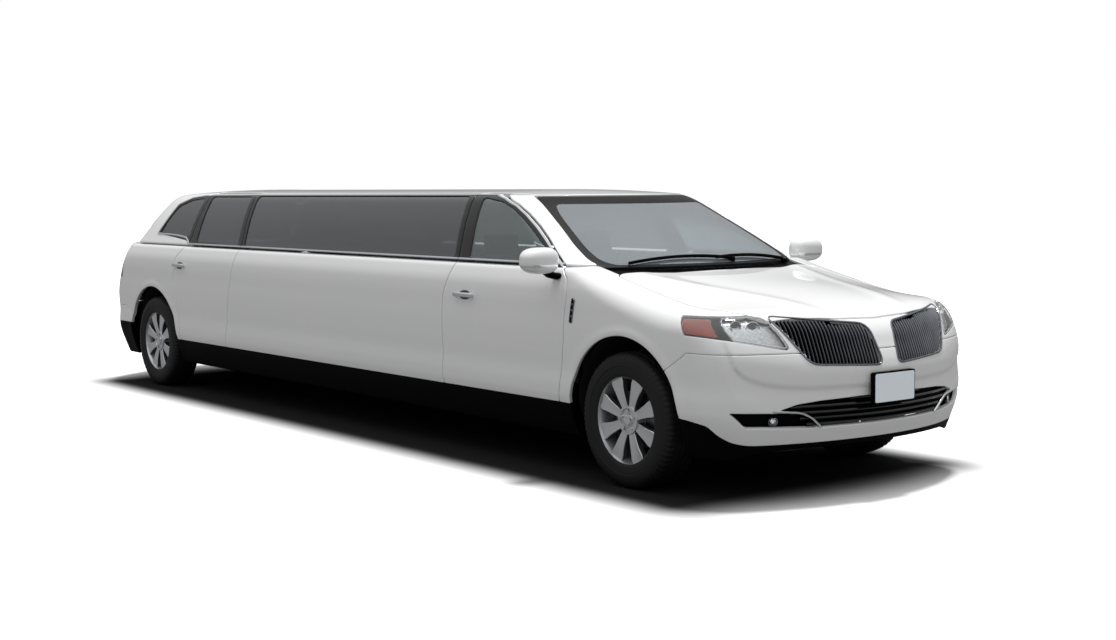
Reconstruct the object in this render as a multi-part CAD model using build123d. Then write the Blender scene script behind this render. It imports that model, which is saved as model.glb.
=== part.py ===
from build123d import *
import math
import os

os.makedirs("parts", exist_ok=True)

# A stretch limousine in millimetres: X forward, Y to its left, Z up from the ground.
WHEELBASE = 6043.0
NOSE_OVERHANG = 1035.0
TAIL_OVERHANG = 1217.0
PLATE_STAND = 25.0
LENGTH = PLATE_STAND + NOSE_OVERHANG + WHEELBASE + TAIL_OVERHANG
FRONT_X = LENGTH / 2 - PLATE_STAND - NOSE_OVERHANG
REAR_X = FRONT_X - WHEELBASE
FAR = 6000.0

# Clearances.
SEAT_GAP = 0.3
SHUT_GAP = 5.0

# Walls, glass and panel edges.
WALL = 80.0
SWING_OUTER_Y = -1000.0
SWING_INNER_Y = -500.0
ROOF_WALL = 45.0
HOOD_THICK = 22.0
GLASS_SET_IN = 5.0
GLASS_THICK = 5.0
SKIN_LOW_Z = 420.0
BELT_Z = 1186.0
SILL_LOW_Z = 235.0
FLOOR_LOW_Z = 262.0
FLOOR_THICK = 18.0
FLOOR_TOP_Z = FLOOR_LOW_Z + FLOOR_THICK

# Number plates.
PLATE_WIDTH = 305.0
PLATE_HEIGHT = 152.0
PLATE_LOW_Z = 500.0
PLATE_BOLTS_Y = 178.0
PLATE_BOLTS_Z = 121.0
PLATE_BOLT_RADIUS = 3.5

# Wheels, steering and wheel wells.
TYRE_RADIUS = 370.0
TYRE_WIDTH = 235.0
RIM_RADIUS = 241.0
RIM_WIDTH = 211.0
SPOKES = 8
TRACK_FRONT = 1661.0
TRACK_REAR = 1656.0
KINGPIN_Y = 700.0
ARCH_RADIUS = 455.0
WELL_RADIUS = 475.0
WELL_THICK = 5.0
WELL_INNER_FRONT = 440.0
WELL_INNER_REAR = 640.0
WELL_LOW_Z = 330.0

# Level sections of the lower body. Columns: height, half width, then the start of the end
# curve, its tip and its corner radius, at the front from the front axle and at the rear
# from the rear axle.
LOWER_ROWS = [
    (200, 885, (540, 940, 240), (-600, -1010, 240)),
    (450, 955, (570, 1030, 270), (-640, -1192, 270)),
    (700, 966, (560, 1030, 290), (-640, -1205, 280)),
    (950, 960, (440, 935, 330), (-560, -1120, 300)),
    (1200, 900, (270, 780, 340), (-420, -965, 330)),
]

# Level sections of the cabin above the belt, same columns.
CABIN_ROWS = [
    (1170, 904, (-690, -215, 310), (-320, -935, 380)),
    (1420, 785, (-1140, -690, 280), (-110, -640, 300)),
    (1600, 664, (-1460, -1030, 240), (60, -370, 230)),
    (1740, 520, (-1760, -1360, 200), (250, -120, 190)),
]

# Front-view sections of the hood and wings. Columns: distance ahead of the front axle,
# height at the centre, height at the corner, half width and corner radius.
HOOD_ROWS = [
    (-460, 1200, 1170, 925, 70),
    (-100, 1128, 1085, 945, 110),
    (420, 1055, 985, 960, 140),
    (850, 962, 950, 960, 130),
    (1120, 850, 890, 930, 110),
]
HOOD_ROOT_Z = 100.0

# The roof's centre line: start, then the arcs' middles (None for a straight) and ends.
ROOF_AXIS_Z = -3200.0
ROOF_SPAN = 60.0
ROOF_START = (REAR_X - 1500, 1270)
ROOF_LINE = [
    ((REAR_X - 500, 1548), (REAR_X + 600, 1638)),
    (None, (FRONT_X - 1750, 1642)),
    ((FRONT_X - 1250, 1627), (FRONT_X - 700, 1572)),
]


def end_curve(half, start, tip, corner, sign):
    """Return where the corner arc meets the end arc, and the corner arc's middle."""
    run = abs(tip - start)
    rise = half - corner
    radius = (run * run + rise * rise - corner * corner) / (2 * (run - corner))
    centre = tip - sign * radius
    turn = math.atan2(rise, (start - centre) * sign)
    middle = turn / 2 + math.pi / 4
    meet = (centre + sign * radius * math.cos(turn), radius * math.sin(turn))
    mid = (start + sign * corner * math.cos(middle), rise + corner * math.sin(middle))
    return meet, mid


def plan_face(z, half, front, rear, inset):
    """Return one level section of the body, inset all round."""
    half = half - inset
    fs, ft, fr = FRONT_X + front[0], FRONT_X + front[1] - inset, front[2] - inset
    rs, rt, rr = REAR_X + rear[0], REAR_X + rear[1] + inset, rear[2] - inset
    fm, fc = end_curve(half, fs, ft, fr, 1)
    rm, rc = end_curve(half, rs, rt, rr, -1)
    edges = [
        Line((rs, -half), (fs, -half)),
        ThreePointArc((fs, -half), (fc[0], -fc[1]), (fm[0], -fm[1])),
        ThreePointArc((fm[0], -fm[1]), (ft, 0), fm),
        ThreePointArc(fm, fc, (fs, half)),
        Line((fs, half), (rs, half)),
        ThreePointArc((rs, half), rc, rm),
        ThreePointArc(rm, (rt, 0), (rm[0], -rm[1])),
        ThreePointArc((rm[0], -rm[1]), (rc[0], -rc[1]), (rs, -half)),
    ]
    return Pos(0, 0, z) * Face(Wire(edges))


def stack(rows, inset):
    """Loft the level sections of a table into one volume."""
    return loft([plan_face(z, half, front, rear, inset) for z, half, front, rear in rows])


def hood_face(x, centre_z, corner_z, half, radius):
    """Return one front-view section of the nose."""
    side, low = half - radius, corner_z - radius
    cut = radius * math.sqrt(0.5)
    edges = [
        Line((x, -half, HOOD_ROOT_Z), (x, -half, low)),
        ThreePointArc((x, -half, low), (x, -side - cut, low + cut), (x, -side, corner_z)),
        ThreePointArc((x, -side, corner_z), (x, 0, centre_z), (x, side, corner_z)),
        ThreePointArc((x, side, corner_z), (x, side + cut, low + cut), (x, half, low)),
        Line((x, half, low), (x, half, HOOD_ROOT_Z)),
        Line((x, half, HOOD_ROOT_Z), (x, -half, HOOD_ROOT_Z)),
    ]
    return Face(Wire(edges))


def hood_volume(drop):
    """Loft the nose sections into the volume below the hood and wings."""
    return loft([hood_face(FRONT_X + x, zc - drop, ze - drop, half, r) for x, zc, ze, half, r in HOOD_ROWS])


def roof_volume(drop):
    """Return the volume below the roof, bent to a crown across the car."""
    first = last = (ROOF_START[0], 0, ROOF_START[1] - drop)
    low = ROOF_AXIS_Z + 200
    edges = []
    for mid, end in ROOF_LINE:
        end = (end[0], 0, end[1] - drop)
        if mid is None:
            edges.append(Line(last, end))
        else:
            edges.append(ThreePointArc(last, (mid[0], 0, mid[1] - drop), end))
        last = end
    edges.append(Line(last, (last[0], 0, low)))
    edges.append(Line((last[0], 0, low), (first[0], 0, low)))
    edges.append(Line((first[0], 0, low), first))
    axis = Axis((0, 0, ROOF_AXIS_Z), (1, 0, 0))
    return revolve(Face(Wire(edges)), axis=axis, revolution_arc=ROOF_SPAN).rotate(axis, -ROOF_SPAN / 2)


def block(x0, x1, y0, y1, z0, z1):
    """Return a block between two corners."""
    middle = Pos((x0 + x1) / 2, (y0 + y1) / 2, (z0 + z1) / 2)
    return middle * Box(abs(x1 - x0), abs(y1 - y0), abs(z1 - z0))


def body_volume(inset, drop):
    """Return the whole outer body, inset at the sides and dropped at the top."""
    ahead = block(FRONT_X + HOOD_ROWS[0][0], FRONT_X + HOOD_ROWS[-1][0] - 1, -FAR, FAR, HOOD_ROOT_Z, 1300)
    lower = stack(LOWER_ROWS, inset) - (ahead - hood_volume(drop))
    cabin = stack(CABIN_ROWS, inset) & roof_volume(drop)
    return lower + cabin


def other_side(shape):
    """Return a shape mirrored to the car's other side."""
    return mirror(shape, about=Plane.XZ)


def gather(*shapes):
    """Return the solids of some shapes as one compound."""
    return Compound(children=[solid for shape in shapes for solid in shape.solids()])


def both(shape):
    """Return a shape and its mirror image as one compound."""
    return gather(shape, other_side(shape))


def outline(points, plane, rounding):
    """Return a rounded polygon as a face. The plane names the two axes of the points."""
    places = {"XZ": lambda a, b: (a, 0, b), "YZ": lambda a, b: (0, a, b), "XY": lambda a, b: (a, b, 0)}
    face = Face(Wire.make_polygon([Vector(*places[plane](a, b)) for a, b in points], close=True))
    if rounding > 0:
        face = face.fillet_2d(rounding, face.vertices())
    return face


def shrink(points, by):
    """Return a polygon's points moved inward by a distance."""
    count = len(points)
    area = sum(points[i - 1][0] * points[i][1] - points[i][0] * points[i - 1][1] for i in range(count))
    sign = math.copysign(1, area)
    moved = []
    for i, (bx, by_) in enumerate(points):
        ax, ay = points[i - 1]
        cx, cy = points[(i + 1) % count]
        before = (bx - ax, by_ - ay)
        after = (cx - bx, cy - by_)
        n1 = (-sign * before[1] / math.hypot(*before), sign * before[0] / math.hypot(*before))
        n2 = (-sign * after[1] / math.hypot(*after), sign * after[0] / math.hypot(*after))
        scale = by / (1 + n1[0] * n2[0] + n1[1] * n2[1])
        moved.append((bx + (n1[0] + n2[0]) * scale, by_ + (n1[1] + n2[1]) * scale))
    return moved


def side_prism(points, inset=0.0, rounding=0.0, y0=-FAR, y1=-300.0):
    """Extrude a side-view outline across the right half, or from y0 to y1."""
    face = outline(shrink(points, inset), "XZ", rounding)
    return Pos(0, y0, 0) * extrude(face, y1 - y0, dir=(0, 1, 0))


def cabin_half_width(z):
    """Return the cabin's half width at a height, straight between the table's rows."""
    rows = CABIN_ROWS
    if z <= rows[0][0]:
        return rows[0][1]
    for low, high in zip(rows, rows[1:]):
        if z <= high[0]:
            return low[1] + (high[1] - low[1]) * (z - low[0]) / (high[0] - low[0])
    return rows[-1][1]


def swing_prism(points, lean, inset=0.0):
    """Extrude a door's outline over the right side, its rear edge slanted along its swing.

    lean: for each point, how far it moves ahead per millimetre inboard of the car's side.
    """
    faces = []
    for y in (SWING_OUTER_Y, SWING_INNER_Y):
        moved = [(x + share * (cabin_half_width(z) + y), z) for (x, z), share in zip(points, lean)]
        faces.append(Pos(0, y, 0) * outline(shrink(moved, inset), "XZ", 0))
    return loft(faces, ruled=True)


def end_prism(points, x0, x1, inset=0.0, rounding=0.0):
    """Extrude a front-view outline from x0 to x1."""
    face = outline(shrink(points, inset), "YZ", rounding)
    return Pos(x0, 0, 0) * extrude(face, x1 - x0, dir=(1, 0, 0))


def plan_prism(points, z0, z1, inset=0.0, rounding=0.0):
    """Extrude a plan outline from z0 to z1."""
    face = outline(shrink(points, inset), "XY", rounding)
    return Pos(0, 0, z0) * extrude(face, z1 - z0, dir=(0, 0, 1))


def from_front(*points):
    """Place side-view or plan points from the front axle."""
    return [(FRONT_X + a, b) for a, b in points]


def from_rear(*points):
    """Place side-view or plan points from the rear axle."""
    return [(REAR_X + a, b) for a, b in points]


def symmetric(points):
    """Complete a front-view outline from its points at negative y."""
    return list(points) + [(-a, b) for a, b in reversed(points)]


def wheel_drum(x, radius, y0, y1):
    """Return a cylinder across the car about a wheel centre."""
    return Pos(x, (y0 + y1) / 2, TYRE_RADIUS) * Rot(90, 0, 0) * Cylinder(radius, abs(y1 - y0))


# Panel outlines of the right side, seen from the side.
FRONT_SEAM = [(-556, SKIN_LOW_Z), (-500, 760), (-476, 1030), (-466, 1140)]
FRONT_DOOR = from_front(
    *FRONT_SEAM, (-730, 1325), (-1000, 1462), (-1270, 1556), (-1480, 1588), (-1748, 1588),
    (-1625, 1190), (-1665, 1090), (-1712, 960), (-1722, SKIN_LOW_Z))
FRONT_LEAN = [0] * 8 + [0.30, 0.08, 0.04, 0, 0]
REAR_DOOR = from_rear(
    (1322, SKIN_LOW_Z), (1335, 520), (1470, 1110), (1500, 1190), (1350, 1588), (572, 1588),
    (590, 1215), (430, 1075), (392, 900), (470, 700), (515, SKIN_LOW_Z))
REAR_LEAN = [0] * 5 + [0.52, 0.12, 0.05, 0, 0, 0]
FRONT_GLASS = from_front((-505, 1160), (-710, 1290), (-1027, 1434), (-1262, 1520), (-1490, 1556), (-1632, 1560),
                         (-1512, 1190))
REAR_GLASS = from_rear((1430, 1195), (1300, 1560), (628, 1560), (700, 1205))
LONG_GLASS = from_front((-1675, 1190), (-1800, 1565)) + from_rear((1410, 1565), (1540, 1190))
QUARTER_GLASS = from_rear((530, 1240), (500, 1550), (270, 1530), (91, 1478), (-45, 1268))
GLASS_ROUNDING = 18.0

# Outlines seen from the front and from behind.
SCREEN = symmetric([(-700, 1190), (-632, 1566)])
SCREEN_REAR_X = FRONT_X - 1330
HATCH_LOW_Z = 640.0
HATCH = symmetric([(-690, HATCH_LOW_Z), (-700, 1180), (-560, 1720)])
HATCH_STEP = 26.0
HATCH_STEP_DEPTH = 30.0
HATCH_SIDE = from_rear((-335, 1720), (-335, 1560), (-90, 1330), (-90, 600), (-1400, 600), (-1400, 1720))
HATCH_GLASS = symmetric([(-610, 1225), (-515, 1505)])
TAIL_LAMP = [(-1000, 1065), (-1000, 885), (-700, 860), (-700, 1065)]
TAIL_LAMP_FRONT_X = REAR_X - 612
HEADLAMP = [(-990, 958), (-990, 868), (-594, 788), (-668, 962)]
HEADLAMP_REAR_X = FRONT_X + 436
GRILLE = [(-662, 962), (-506, 717), (-53, 693), (-92, 903)]
GRILLE_REAR_X = FRONT_X + 700
INTAKE = symmetric([(-520, 400), (-720, 495), (-490, 590)])
FOG_RECESS = [(-898, 486), (-815, 404), (-560, 392), (-622, 476)]
FOG_REAR_X = FRONT_X + 600
FOG_SET_IN = 30.0
FOG_LAMP = (-690.0, 434.0)
FOG_LAMP_RADIUS = 33.0
FOG_LAMP_SET_IN = 8.0
NOSE_FAR_X = FRONT_X + 1300
TAIL_FAR_X = REAR_X - 1400

# Bumper, wing and hood outlines.
BUMPER = from_front((300, 150), (300, 640), (520, 775), (1300, 775), (1300, 150))
REAR_BUMPER = from_rear((-380, 150), (-380, 520), (-560, 640), (-1400, 640), (-1400, 150))
WING = from_front(*FRONT_SEAM[:3], (-470, 1100), (-900, 1100), (-900, BELT_Z), (-560, BELT_Z), (-560, 1202),
                  (1200, 1202), (1200, SKIN_LOW_Z))
HOOD_HALF = [(-128, 0), (-150, -400), (-265, -700), (-240, -765), (400, -800), (640, -775), (795, -668), (885, -300)]
HOOD = from_front(*HOOD_HALF, (905, 0), *[(x, -y) for x, y in reversed(HOOD_HALF[1:])])
HOOD_SEAT = 25.0

# Door handles, and their places on the front and rear doors.
HANDLE_LONG = 196.0
HANDLE_HIGH = 26.0
HANDLE_THICK = 14.0
HANDLE_STAND = 22.0
HANDLE_FOOT = 80.0
HANDLES = from_front((-1470, 975)) + from_rear((530, 1015))

# Grille bars.
BAR_PITCH = 24.0
BAR_WIDTH = 9.0
BAR_DEPTH = 30.0
FRAME_WIDTH = 12.0
SLAT_PITCH = 34.0
SLAT_HEIGHT = 12.0


def make_shell():
    """Return the hollow body with its four wheel arches."""
    arches = [wheel_drum(x, ARCH_RADIUS, side * 500, side * 1000)
              for x in (FRONT_X, REAR_X) for side in (-1, 1)]
    return body_volume(0, 0) - [body_volume(WALL, ROOF_WALL), *arches]


def make_glass_layer():
    """Return the layer of the cabin's surface that holds every pane."""
    return stack(CABIN_ROWS, GLASS_SET_IN) - stack(CABIN_ROWS, GLASS_SET_IN + GLASS_THICK)


def door_handle(x, z):
    """Return a right-hand pull handle standing off the door's skin on two feet."""
    bar = side_prism([(x - HANDLE_LONG / 2, z - HANDLE_HIGH / 2), (x + HANDLE_LONG / 2, z - HANDLE_HIGH / 2),
                      (x + HANDLE_LONG / 2, z + HANDLE_HIGH / 2), (x - HANDLE_LONG / 2, z + HANDLE_HIGH / 2)],
                     0, HANDLE_HIGH / 2 - 1)
    near = stack(LOWER_ROWS, -HANDLE_STAND)
    feet = [block(x + side * HANDLE_FOOT - 9, x + side * HANDLE_FOOT + 9, -FAR, -300, z - 8, z + 8) for side in (-1, 1)]
    bar = (bar & stack(LOWER_ROWS, -HANDLE_STAND - HANDLE_THICK)) - near
    return bar + ((Compound(children=feet) & stack(LOWER_ROWS, -HANDLE_STAND - 3)) - stack(LOWER_ROWS, 3))


def leaf_and_pane(shell, layer, edge, lean, pane):
    """Return a door's leaf with its window cut, the pane and the hole in the body."""
    leaf = shell & (swing_prism(edge, lean, SHUT_GAP) - side_prism(pane, 0, GLASS_ROUNDING))
    glass = layer & side_prism(pane, SEAT_GAP, GLASS_ROUNDING)
    return leaf, glass, swing_prism(edge, lean)


def grille_wing(zone, edge, x0):
    """Return a frame with upright bars in a piece of the nose."""
    inside = shrink(edge, FRAME_WIDTH)
    low_y, high_y = min(y for y, _ in edge), max(y for y, _ in edge)
    count = int((high_y - low_y) / BAR_PITCH)
    slots = [block(x0, NOSE_FAR_X, low_y + i * BAR_PITCH, low_y + (i + 1) * BAR_PITCH - BAR_WIDTH, 600, 1000)
             for i in range(count + 1)]
    window = end_prism(inside, x0, NOSE_FAR_X)
    return zone - (window & Compound(children=slots))


def tyre_at(x, y):
    """Return one tyre as a ring with rounded shoulders."""
    half, crown = TYRE_WIDTH / 2, TYRE_RADIUS
    bead, wall = half - 12, RIM_RADIUS + 45
    edges = [
        ThreePointArc((0, -bead, RIM_RADIUS), (0, -half + 3, RIM_RADIUS + 22), (0, -half, wall)),
        ThreePointArc((0, -half, wall), (0, -half + 7, crown - 32), (0, -half + 30, crown - 6)),
        ThreePointArc((0, -half + 30, crown - 6), (0, 0, crown), (0, half - 30, crown - 6)),
        ThreePointArc((0, half - 30, crown - 6), (0, half - 7, crown - 32), (0, half, wall)),
        ThreePointArc((0, half, wall), (0, half - 3, RIM_RADIUS + 22), (0, bead, RIM_RADIUS)),
        Line((0, bead, RIM_RADIUS), (0, -bead, RIM_RADIUS)),
    ]
    ring = revolve(Face(Wire(edges)), axis=Axis((0, 0, 0), (0, 1, 0)))
    return Pos(x, y, TYRE_RADIUS) * ring


HUB_RADIUS = 72.0
HUB_INNER = 35.0
HUB_OUTER = 78.0
SPOKE_WIDTH = 66.0
SPOKE_THICK = 26.0
BARREL_THICK = 12.0
DISC_RADIUS = 165.0


def rim_at(x, y):
    """Return one wheel rim with flat spokes and its brake disc; it faces outward."""
    half = RIM_WIDTH / 2
    barrel = Cylinder(RIM_RADIUS - SEAT_GAP, RIM_WIDTH) - Cylinder(RIM_RADIUS - BARREL_THICK, RIM_WIDTH + 2)
    hub = Pos(0, 0, (HUB_INNER + HUB_OUTER) / 2) * Cylinder(HUB_RADIUS, HUB_OUTER - HUB_INNER)
    reach = RIM_RADIUS - BARREL_THICK / 2
    spokes = [
        Rot(0, 0, (i + 0.5) * 360 / SPOKES)
        * Pos(reach / 2 + 20, 0, half - 14 - SPOKE_THICK / 2)
        * Box(reach - 40, SPOKE_WIDTH, SPOKE_THICK)
        for i in range(SPOKES)
    ]
    disc = Pos(0, 0, HUB_INNER - 14) * Cylinder(DISC_RADIUS, 28)
    wheel = Rot(90, 0, 0) * (barrel + [hub, disc, *spokes])
    if y > 0:
        wheel = other_side(wheel)
    return Pos(x, y, TYRE_RADIUS) * wheel


ARM_LOW_Z = 200.0
ARM_TOP_Z = 240.0
STUB_RADIUS = 38.0
STRUT_RADIUS = 28.0
STRUT_INSET = 45.0


def knuckle_right():
    """Return the right front hub carrier: post, stub axle and strut."""
    post = block(FRONT_X - 32, FRONT_X + 32, -KINGPIN_Y - 30, -KINGPIN_Y + 30, ARM_TOP_Z + SEAT_GAP, 460)
    stub_y = -(TRACK_FRONT / 2 - RIM_DEPTH)
    stub = wheel_drum(FRONT_X, STUB_RADIUS, -KINGPIN_Y, stub_y)
    top = TYRE_RADIUS + math.sqrt(WELL_RADIUS ** 2 - (STRUT_RADIUS + STRUT_INSET) ** 2) - SHUT_GAP
    strut = Pos(FRONT_X, -KINGPIN_Y + STRUT_INSET, (450 + top) / 2) * Cylinder(STRUT_RADIUS, top - 450)
    return post + [stub, strut]


RIM_DEPTH = 28 - HUB_INNER + SEAT_GAP


def axle_frames():
    """Return the front subframe with its arms and the rear axle with its stubs."""
    frame = block(FRONT_X - 220, FRONT_X + 220, -330, 330, ARM_TOP_Z, FLOOR_LOW_Z)
    arm = block(FRONT_X - 45, FRONT_X + 45, -KINGPIN_Y - 30, -200, ARM_LOW_Z, ARM_TOP_Z)
    beam = block(REAR_X - 70, REAR_X + 70, -700, 700, ARM_LOW_Z, FLOOR_LOW_Z)
    carrier_y = WELL_INNER_REAR + WELL_THICK + SEAT_GAP
    carrier = block(REAR_X - 45, REAR_X + 45, -carrier_y - 55, -carrier_y, ARM_LOW_Z, 450)
    stub = wheel_drum(REAR_X, STUB_RADIUS, -carrier_y - 55, -(TRACK_REAR / 2 - RIM_DEPTH))
    rear = beam + [carrier, stub, other_side(carrier), other_side(stub)]
    return gather(frame + [arm, other_side(arm)], rear)


def wheel_wells(inner):
    """Return the four wheel wells, each a half drum closed on its inner side."""
    wells = []
    for x, low_y in ((FRONT_X, WELL_INNER_FRONT), (REAR_X, WELL_INNER_REAR)):
        drum = wheel_drum(x, WELL_RADIUS + WELL_THICK, -low_y, -1000)
        drum -= wheel_drum(x, WELL_RADIUS, -low_y - WELL_THICK, -1010)
        drum &= block(x - 600, x + 600, -FAR, 0, WELL_LOW_Z, 1200)
        wells.append(both(drum & inner))
    return gather(*wells)


def floor_pan(inner):
    """Return the floor sheet with its openings over the wheels."""
    sheet = inner & block(REAR_X - 960, FRONT_X + 800, -FAR, FAR, FLOOR_LOW_Z, FLOOR_TOP_Z)
    openings = [
        block(x - WELL_RADIUS - WELL_THICK, x + WELL_RADIUS + WELL_THICK, side * low_y, side * 1200, 0, 1000)
        for x, low_y in ((FRONT_X, WELL_INNER_FRONT), (REAR_X, WELL_INNER_REAR)) for side in (-1, 1)
    ]
    return sheet - openings


# Door hinges. Columns: x of the seam and height of the plate's middle.
HINGES = from_front((-522, 560), (-486, 900)) + from_rear((1345, 560), (1425, 900))
HINGE_WIDTH = 110.0
HINGE_HEIGHT = 70.0
HINGE_THICK = 12.0


def hinge_plates():
    """Return the door hinge plates inside the walls and the striker below the rear hatch."""
    layer = stack(LOWER_ROWS, WALL + SEAT_GAP) - stack(LOWER_ROWS, WALL + HINGE_THICK)
    half_w, half_h = HINGE_WIDTH / 2, HINGE_HEIGHT / 2
    blocks = [block(x - half_w, x + half_w, -FAR, 0, z - half_h, z + half_h) for x, z in HINGES]
    doors = both(layer & Compound(children=blocks))
    striker = block(REAR_X - 1190, REAR_X - 1150, -40, 40, HATCH_LOW_Z - SEAT_GAP, HATCH_LOW_Z + SHUT_GAP - SEAT_GAP)
    return gather(doors, striker)


MIRROR_X = FRONT_X - 600
MIRROR_Z = 1212.0


def mirror_right():
    """Return the right door mirror: a rounded shell on a foot at the door."""
    head = Pos(MIRROR_X, -1062, MIRROR_Z) * Box(118, 225, 148)
    head = fillet(head.edges(), 42)
    foot = block(MIRROR_X - 38, MIRROR_X + 38, -1000, -850, MIRROR_Z - 88, MIRROR_Z - 40)
    grown = [stack(CABIN_ROWS, -SEAT_GAP), stack(LOWER_ROWS, -SEAT_GAP)]
    return (head + foot) - grown


WHEEL_PLACE = (FRONT_X - 1150, 370.0, 965.0)
WHEEL_LEAN = -65.0
WHEEL_RADIUS = 180.0
BULKHEAD_X = FRONT_X - 425
BULKHEAD_THICK = 20.0
DASH_DEPTH = 420.0


def steering_wheel():
    """Return the steering wheel: ring, hub and three spokes."""
    ring = Torus(WHEEL_RADIUS, 14)
    hub = Cylinder(42, 46)
    spokes = [Rot(0, 0, turn) * Pos(WHEEL_RADIUS / 2, 0, 0) * Box(WHEEL_RADIUS, 34, 12) for turn in (180, 90, 270)]
    return Pos(*WHEEL_PLACE) * Rot(0, WHEEL_LEAN, 0) * (ring + [hub, *spokes])


def dashboard():
    """Return the dashboard with the steering column, standing off the bulkhead."""
    x1 = BULKHEAD_X - SEAT_GAP
    profile = [(x1, 700), (x1, 1080), (x1 - 200, 1075), (x1 - DASH_DEPTH, 985), (x1 - DASH_DEPTH, 860),
               (x1 - 260, 700)]
    panel = side_prism(profile, 0, 30, -790, 790)
    column = Pos(*WHEEL_PLACE) * Rot(0, WHEEL_LEAN, 0) * Pos(0, 0, -23 - SEAT_GAP - 170) * Cylinder(24, 340)
    return panel + column


def front_seat_right():
    """Return the right front seat: cushion, back and head restraint."""
    x0 = FRONT_X - 1790
    cushion = block(x0, x0 + 520, -640, -130, FLOOR_TOP_Z + SEAT_GAP, 620)
    back = Pos(x0 + 40, -385, 610) * Rot(0, -12, 0) * Pos(0, 0, 300) * Box(130, 480, 620)
    rest = Pos(x0 - 88, -385, 1235) * Box(90, 260, 170)
    return cushion + [back, rest]


shell = make_shell()
inner = body_volume(WALL, ROOF_WALL)
layer = make_glass_layer()

front_leaf, front_pane, front_hole = leaf_and_pane(shell, layer, FRONT_DOOR, FRONT_LEAN, FRONT_GLASS)
rear_leaf, rear_pane, rear_hole = leaf_and_pane(shell, layer, REAR_DOOR, REAR_LEAN, REAR_GLASS)
front_leaf += door_handle(*HANDLES[0])
rear_leaf += door_handle(*HANDLES[1])
fixed_edges = (LONG_GLASS, QUARTER_GLASS)
fixed_panes = [layer & side_prism(edge, SEAT_GAP, GLASS_ROUNDING) for edge in fixed_edges]
holes = [front_hole, rear_hole, *[side_prism(edge, 0, GLASS_ROUNDING) for edge in fixed_edges]]
screen_hole = end_prism(SCREEN, SCREEN_REAR_X, FRONT_X, 0, 40)
windscreen = layer & end_prism(SCREEN, SCREEN_REAR_X, FRONT_X, SEAT_GAP, 40)
hatch_hole = end_prism(HATCH, TAIL_FAR_X, REAR_X) & side_prism(HATCH_SIDE, 0, 0, -900, 900)
hatch_zone = end_prism(HATCH, TAIL_FAR_X, REAR_X, SHUT_GAP) & side_prism(HATCH_SIDE, SHUT_GAP, 0, -900, 900)
tailgate = (shell & hatch_zone) - end_prism(HATCH_GLASS, TAIL_FAR_X, REAR_X, 0, 40)
tailgate -= stack(CABIN_ROWS, HATCH_STEP_DEPTH) - end_prism(HATCH, TAIL_FAR_X, FAR, SHUT_GAP + HATCH_STEP)
tailgate_glass = layer & end_prism(HATCH_GLASS, TAIL_FAR_X, REAR_X, SEAT_GAP, 40)
body = shell - [*holes, *[other_side(hole) for hole in holes], screen_hole, hatch_hole]

hood_top = (stack(LOWER_ROWS, 0) & hood_volume(0)) - hood_volume(HOOD_THICK)
hood = hood_top & plan_prism(HOOD, 800, 1400, SHUT_GAP)
hood_hole = plan_prism(HOOD, 800, 1400) - hood_volume(HOOD_THICK + SEAT_GAP)
body = body - [hood_hole, plan_prism(HOOD, 800, 1400, HOOD_SEAT)]

lamp_hole = end_prism(HEADLAMP, HEADLAMP_REAR_X, NOSE_FAR_X)
headlamp = body & end_prism(HEADLAMP, HEADLAMP_REAR_X + SEAT_GAP, NOSE_FAR_X, SEAT_GAP)
grille_zone = body & end_prism(GRILLE, GRILLE_REAR_X, NOSE_FAR_X, SEAT_GAP)
upper_grille = grille_wing(grille_zone - stack(LOWER_ROWS, BAR_DEPTH), GRILLE, GRILLE_REAR_X)
grille_hole = end_prism(GRILLE, GRILLE_REAR_X, NOSE_FAR_X)
tail_lamp = body & end_prism(TAIL_LAMP, TAIL_FAR_X, TAIL_LAMP_FRONT_X - SEAT_GAP, SEAT_GAP)
tail_lamp_hole = end_prism(TAIL_LAMP, TAIL_FAR_X, TAIL_LAMP_FRONT_X)
corner_holes = [lamp_hole, grille_hole, tail_lamp_hole]
body = body - [*corner_holes, *[other_side(hole) for hole in corner_holes]]

wide = (-FAR, FAR)
front_bumper = body & (side_prism(BUMPER, SEAT_GAP, 0, *wide) & block(0, FAR, *wide, SILL_LOW_Z, 900))
intake_zone = front_bumper & end_prism(INTAKE, FRONT_X + 700, NOSE_FAR_X, SEAT_GAP)
intake_zone -= stack(LOWER_ROWS, BAR_DEPTH)
slots = [block(FRONT_X + 700, NOSE_FAR_X, -900, 900, z, z + SLAT_PITCH - SLAT_HEIGHT)
         for z in (400 + SLAT_PITCH * i for i in range(7))]
window = end_prism(INTAKE, FRONT_X + 700, NOSE_FAR_X, FRAME_WIDTH)
lower_grille = intake_zone - (window & Compound(children=slots))
front_bumper -= end_prism(INTAKE, FRONT_X + 700, NOSE_FAR_X)
fog_zone = front_bumper & end_prism(FOG_RECESS, FOG_REAR_X, NOSE_FAR_X, SEAT_GAP)
fog_drum = Pos((FOG_REAR_X + NOSE_FAR_X) / 2, *FOG_LAMP) * Rot(0, 90, 0)
fog_drum *= Cylinder(FOG_LAMP_RADIUS, NOSE_FAR_X - FOG_REAR_X)
fog_lamp = fog_zone & (stack(LOWER_ROWS, FOG_SET_IN) + (stack(LOWER_ROWS, FOG_LAMP_SET_IN) & fog_drum))
fog_hole = end_prism(FOG_RECESS, FOG_REAR_X, NOSE_FAR_X)
front_bumper -= [fog_hole, other_side(fog_hole)]
rear_bumper = body & (side_prism(REAR_BUMPER, SEAT_GAP, 0, *wide) & block(-FAR, 0, *wide, SILL_LOW_Z, 900))
wings = body & side_prism(WING, SEAT_GAP, 0, *wide)
wings -= side_prism(BUMPER, 0, 0, *wide)
body = body - [side_prism(BUMPER, 0, 0, *wide), side_prism(REAR_BUMPER, 0, 0, *wide), side_prism(WING, 0, 0, *wide)]
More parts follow.
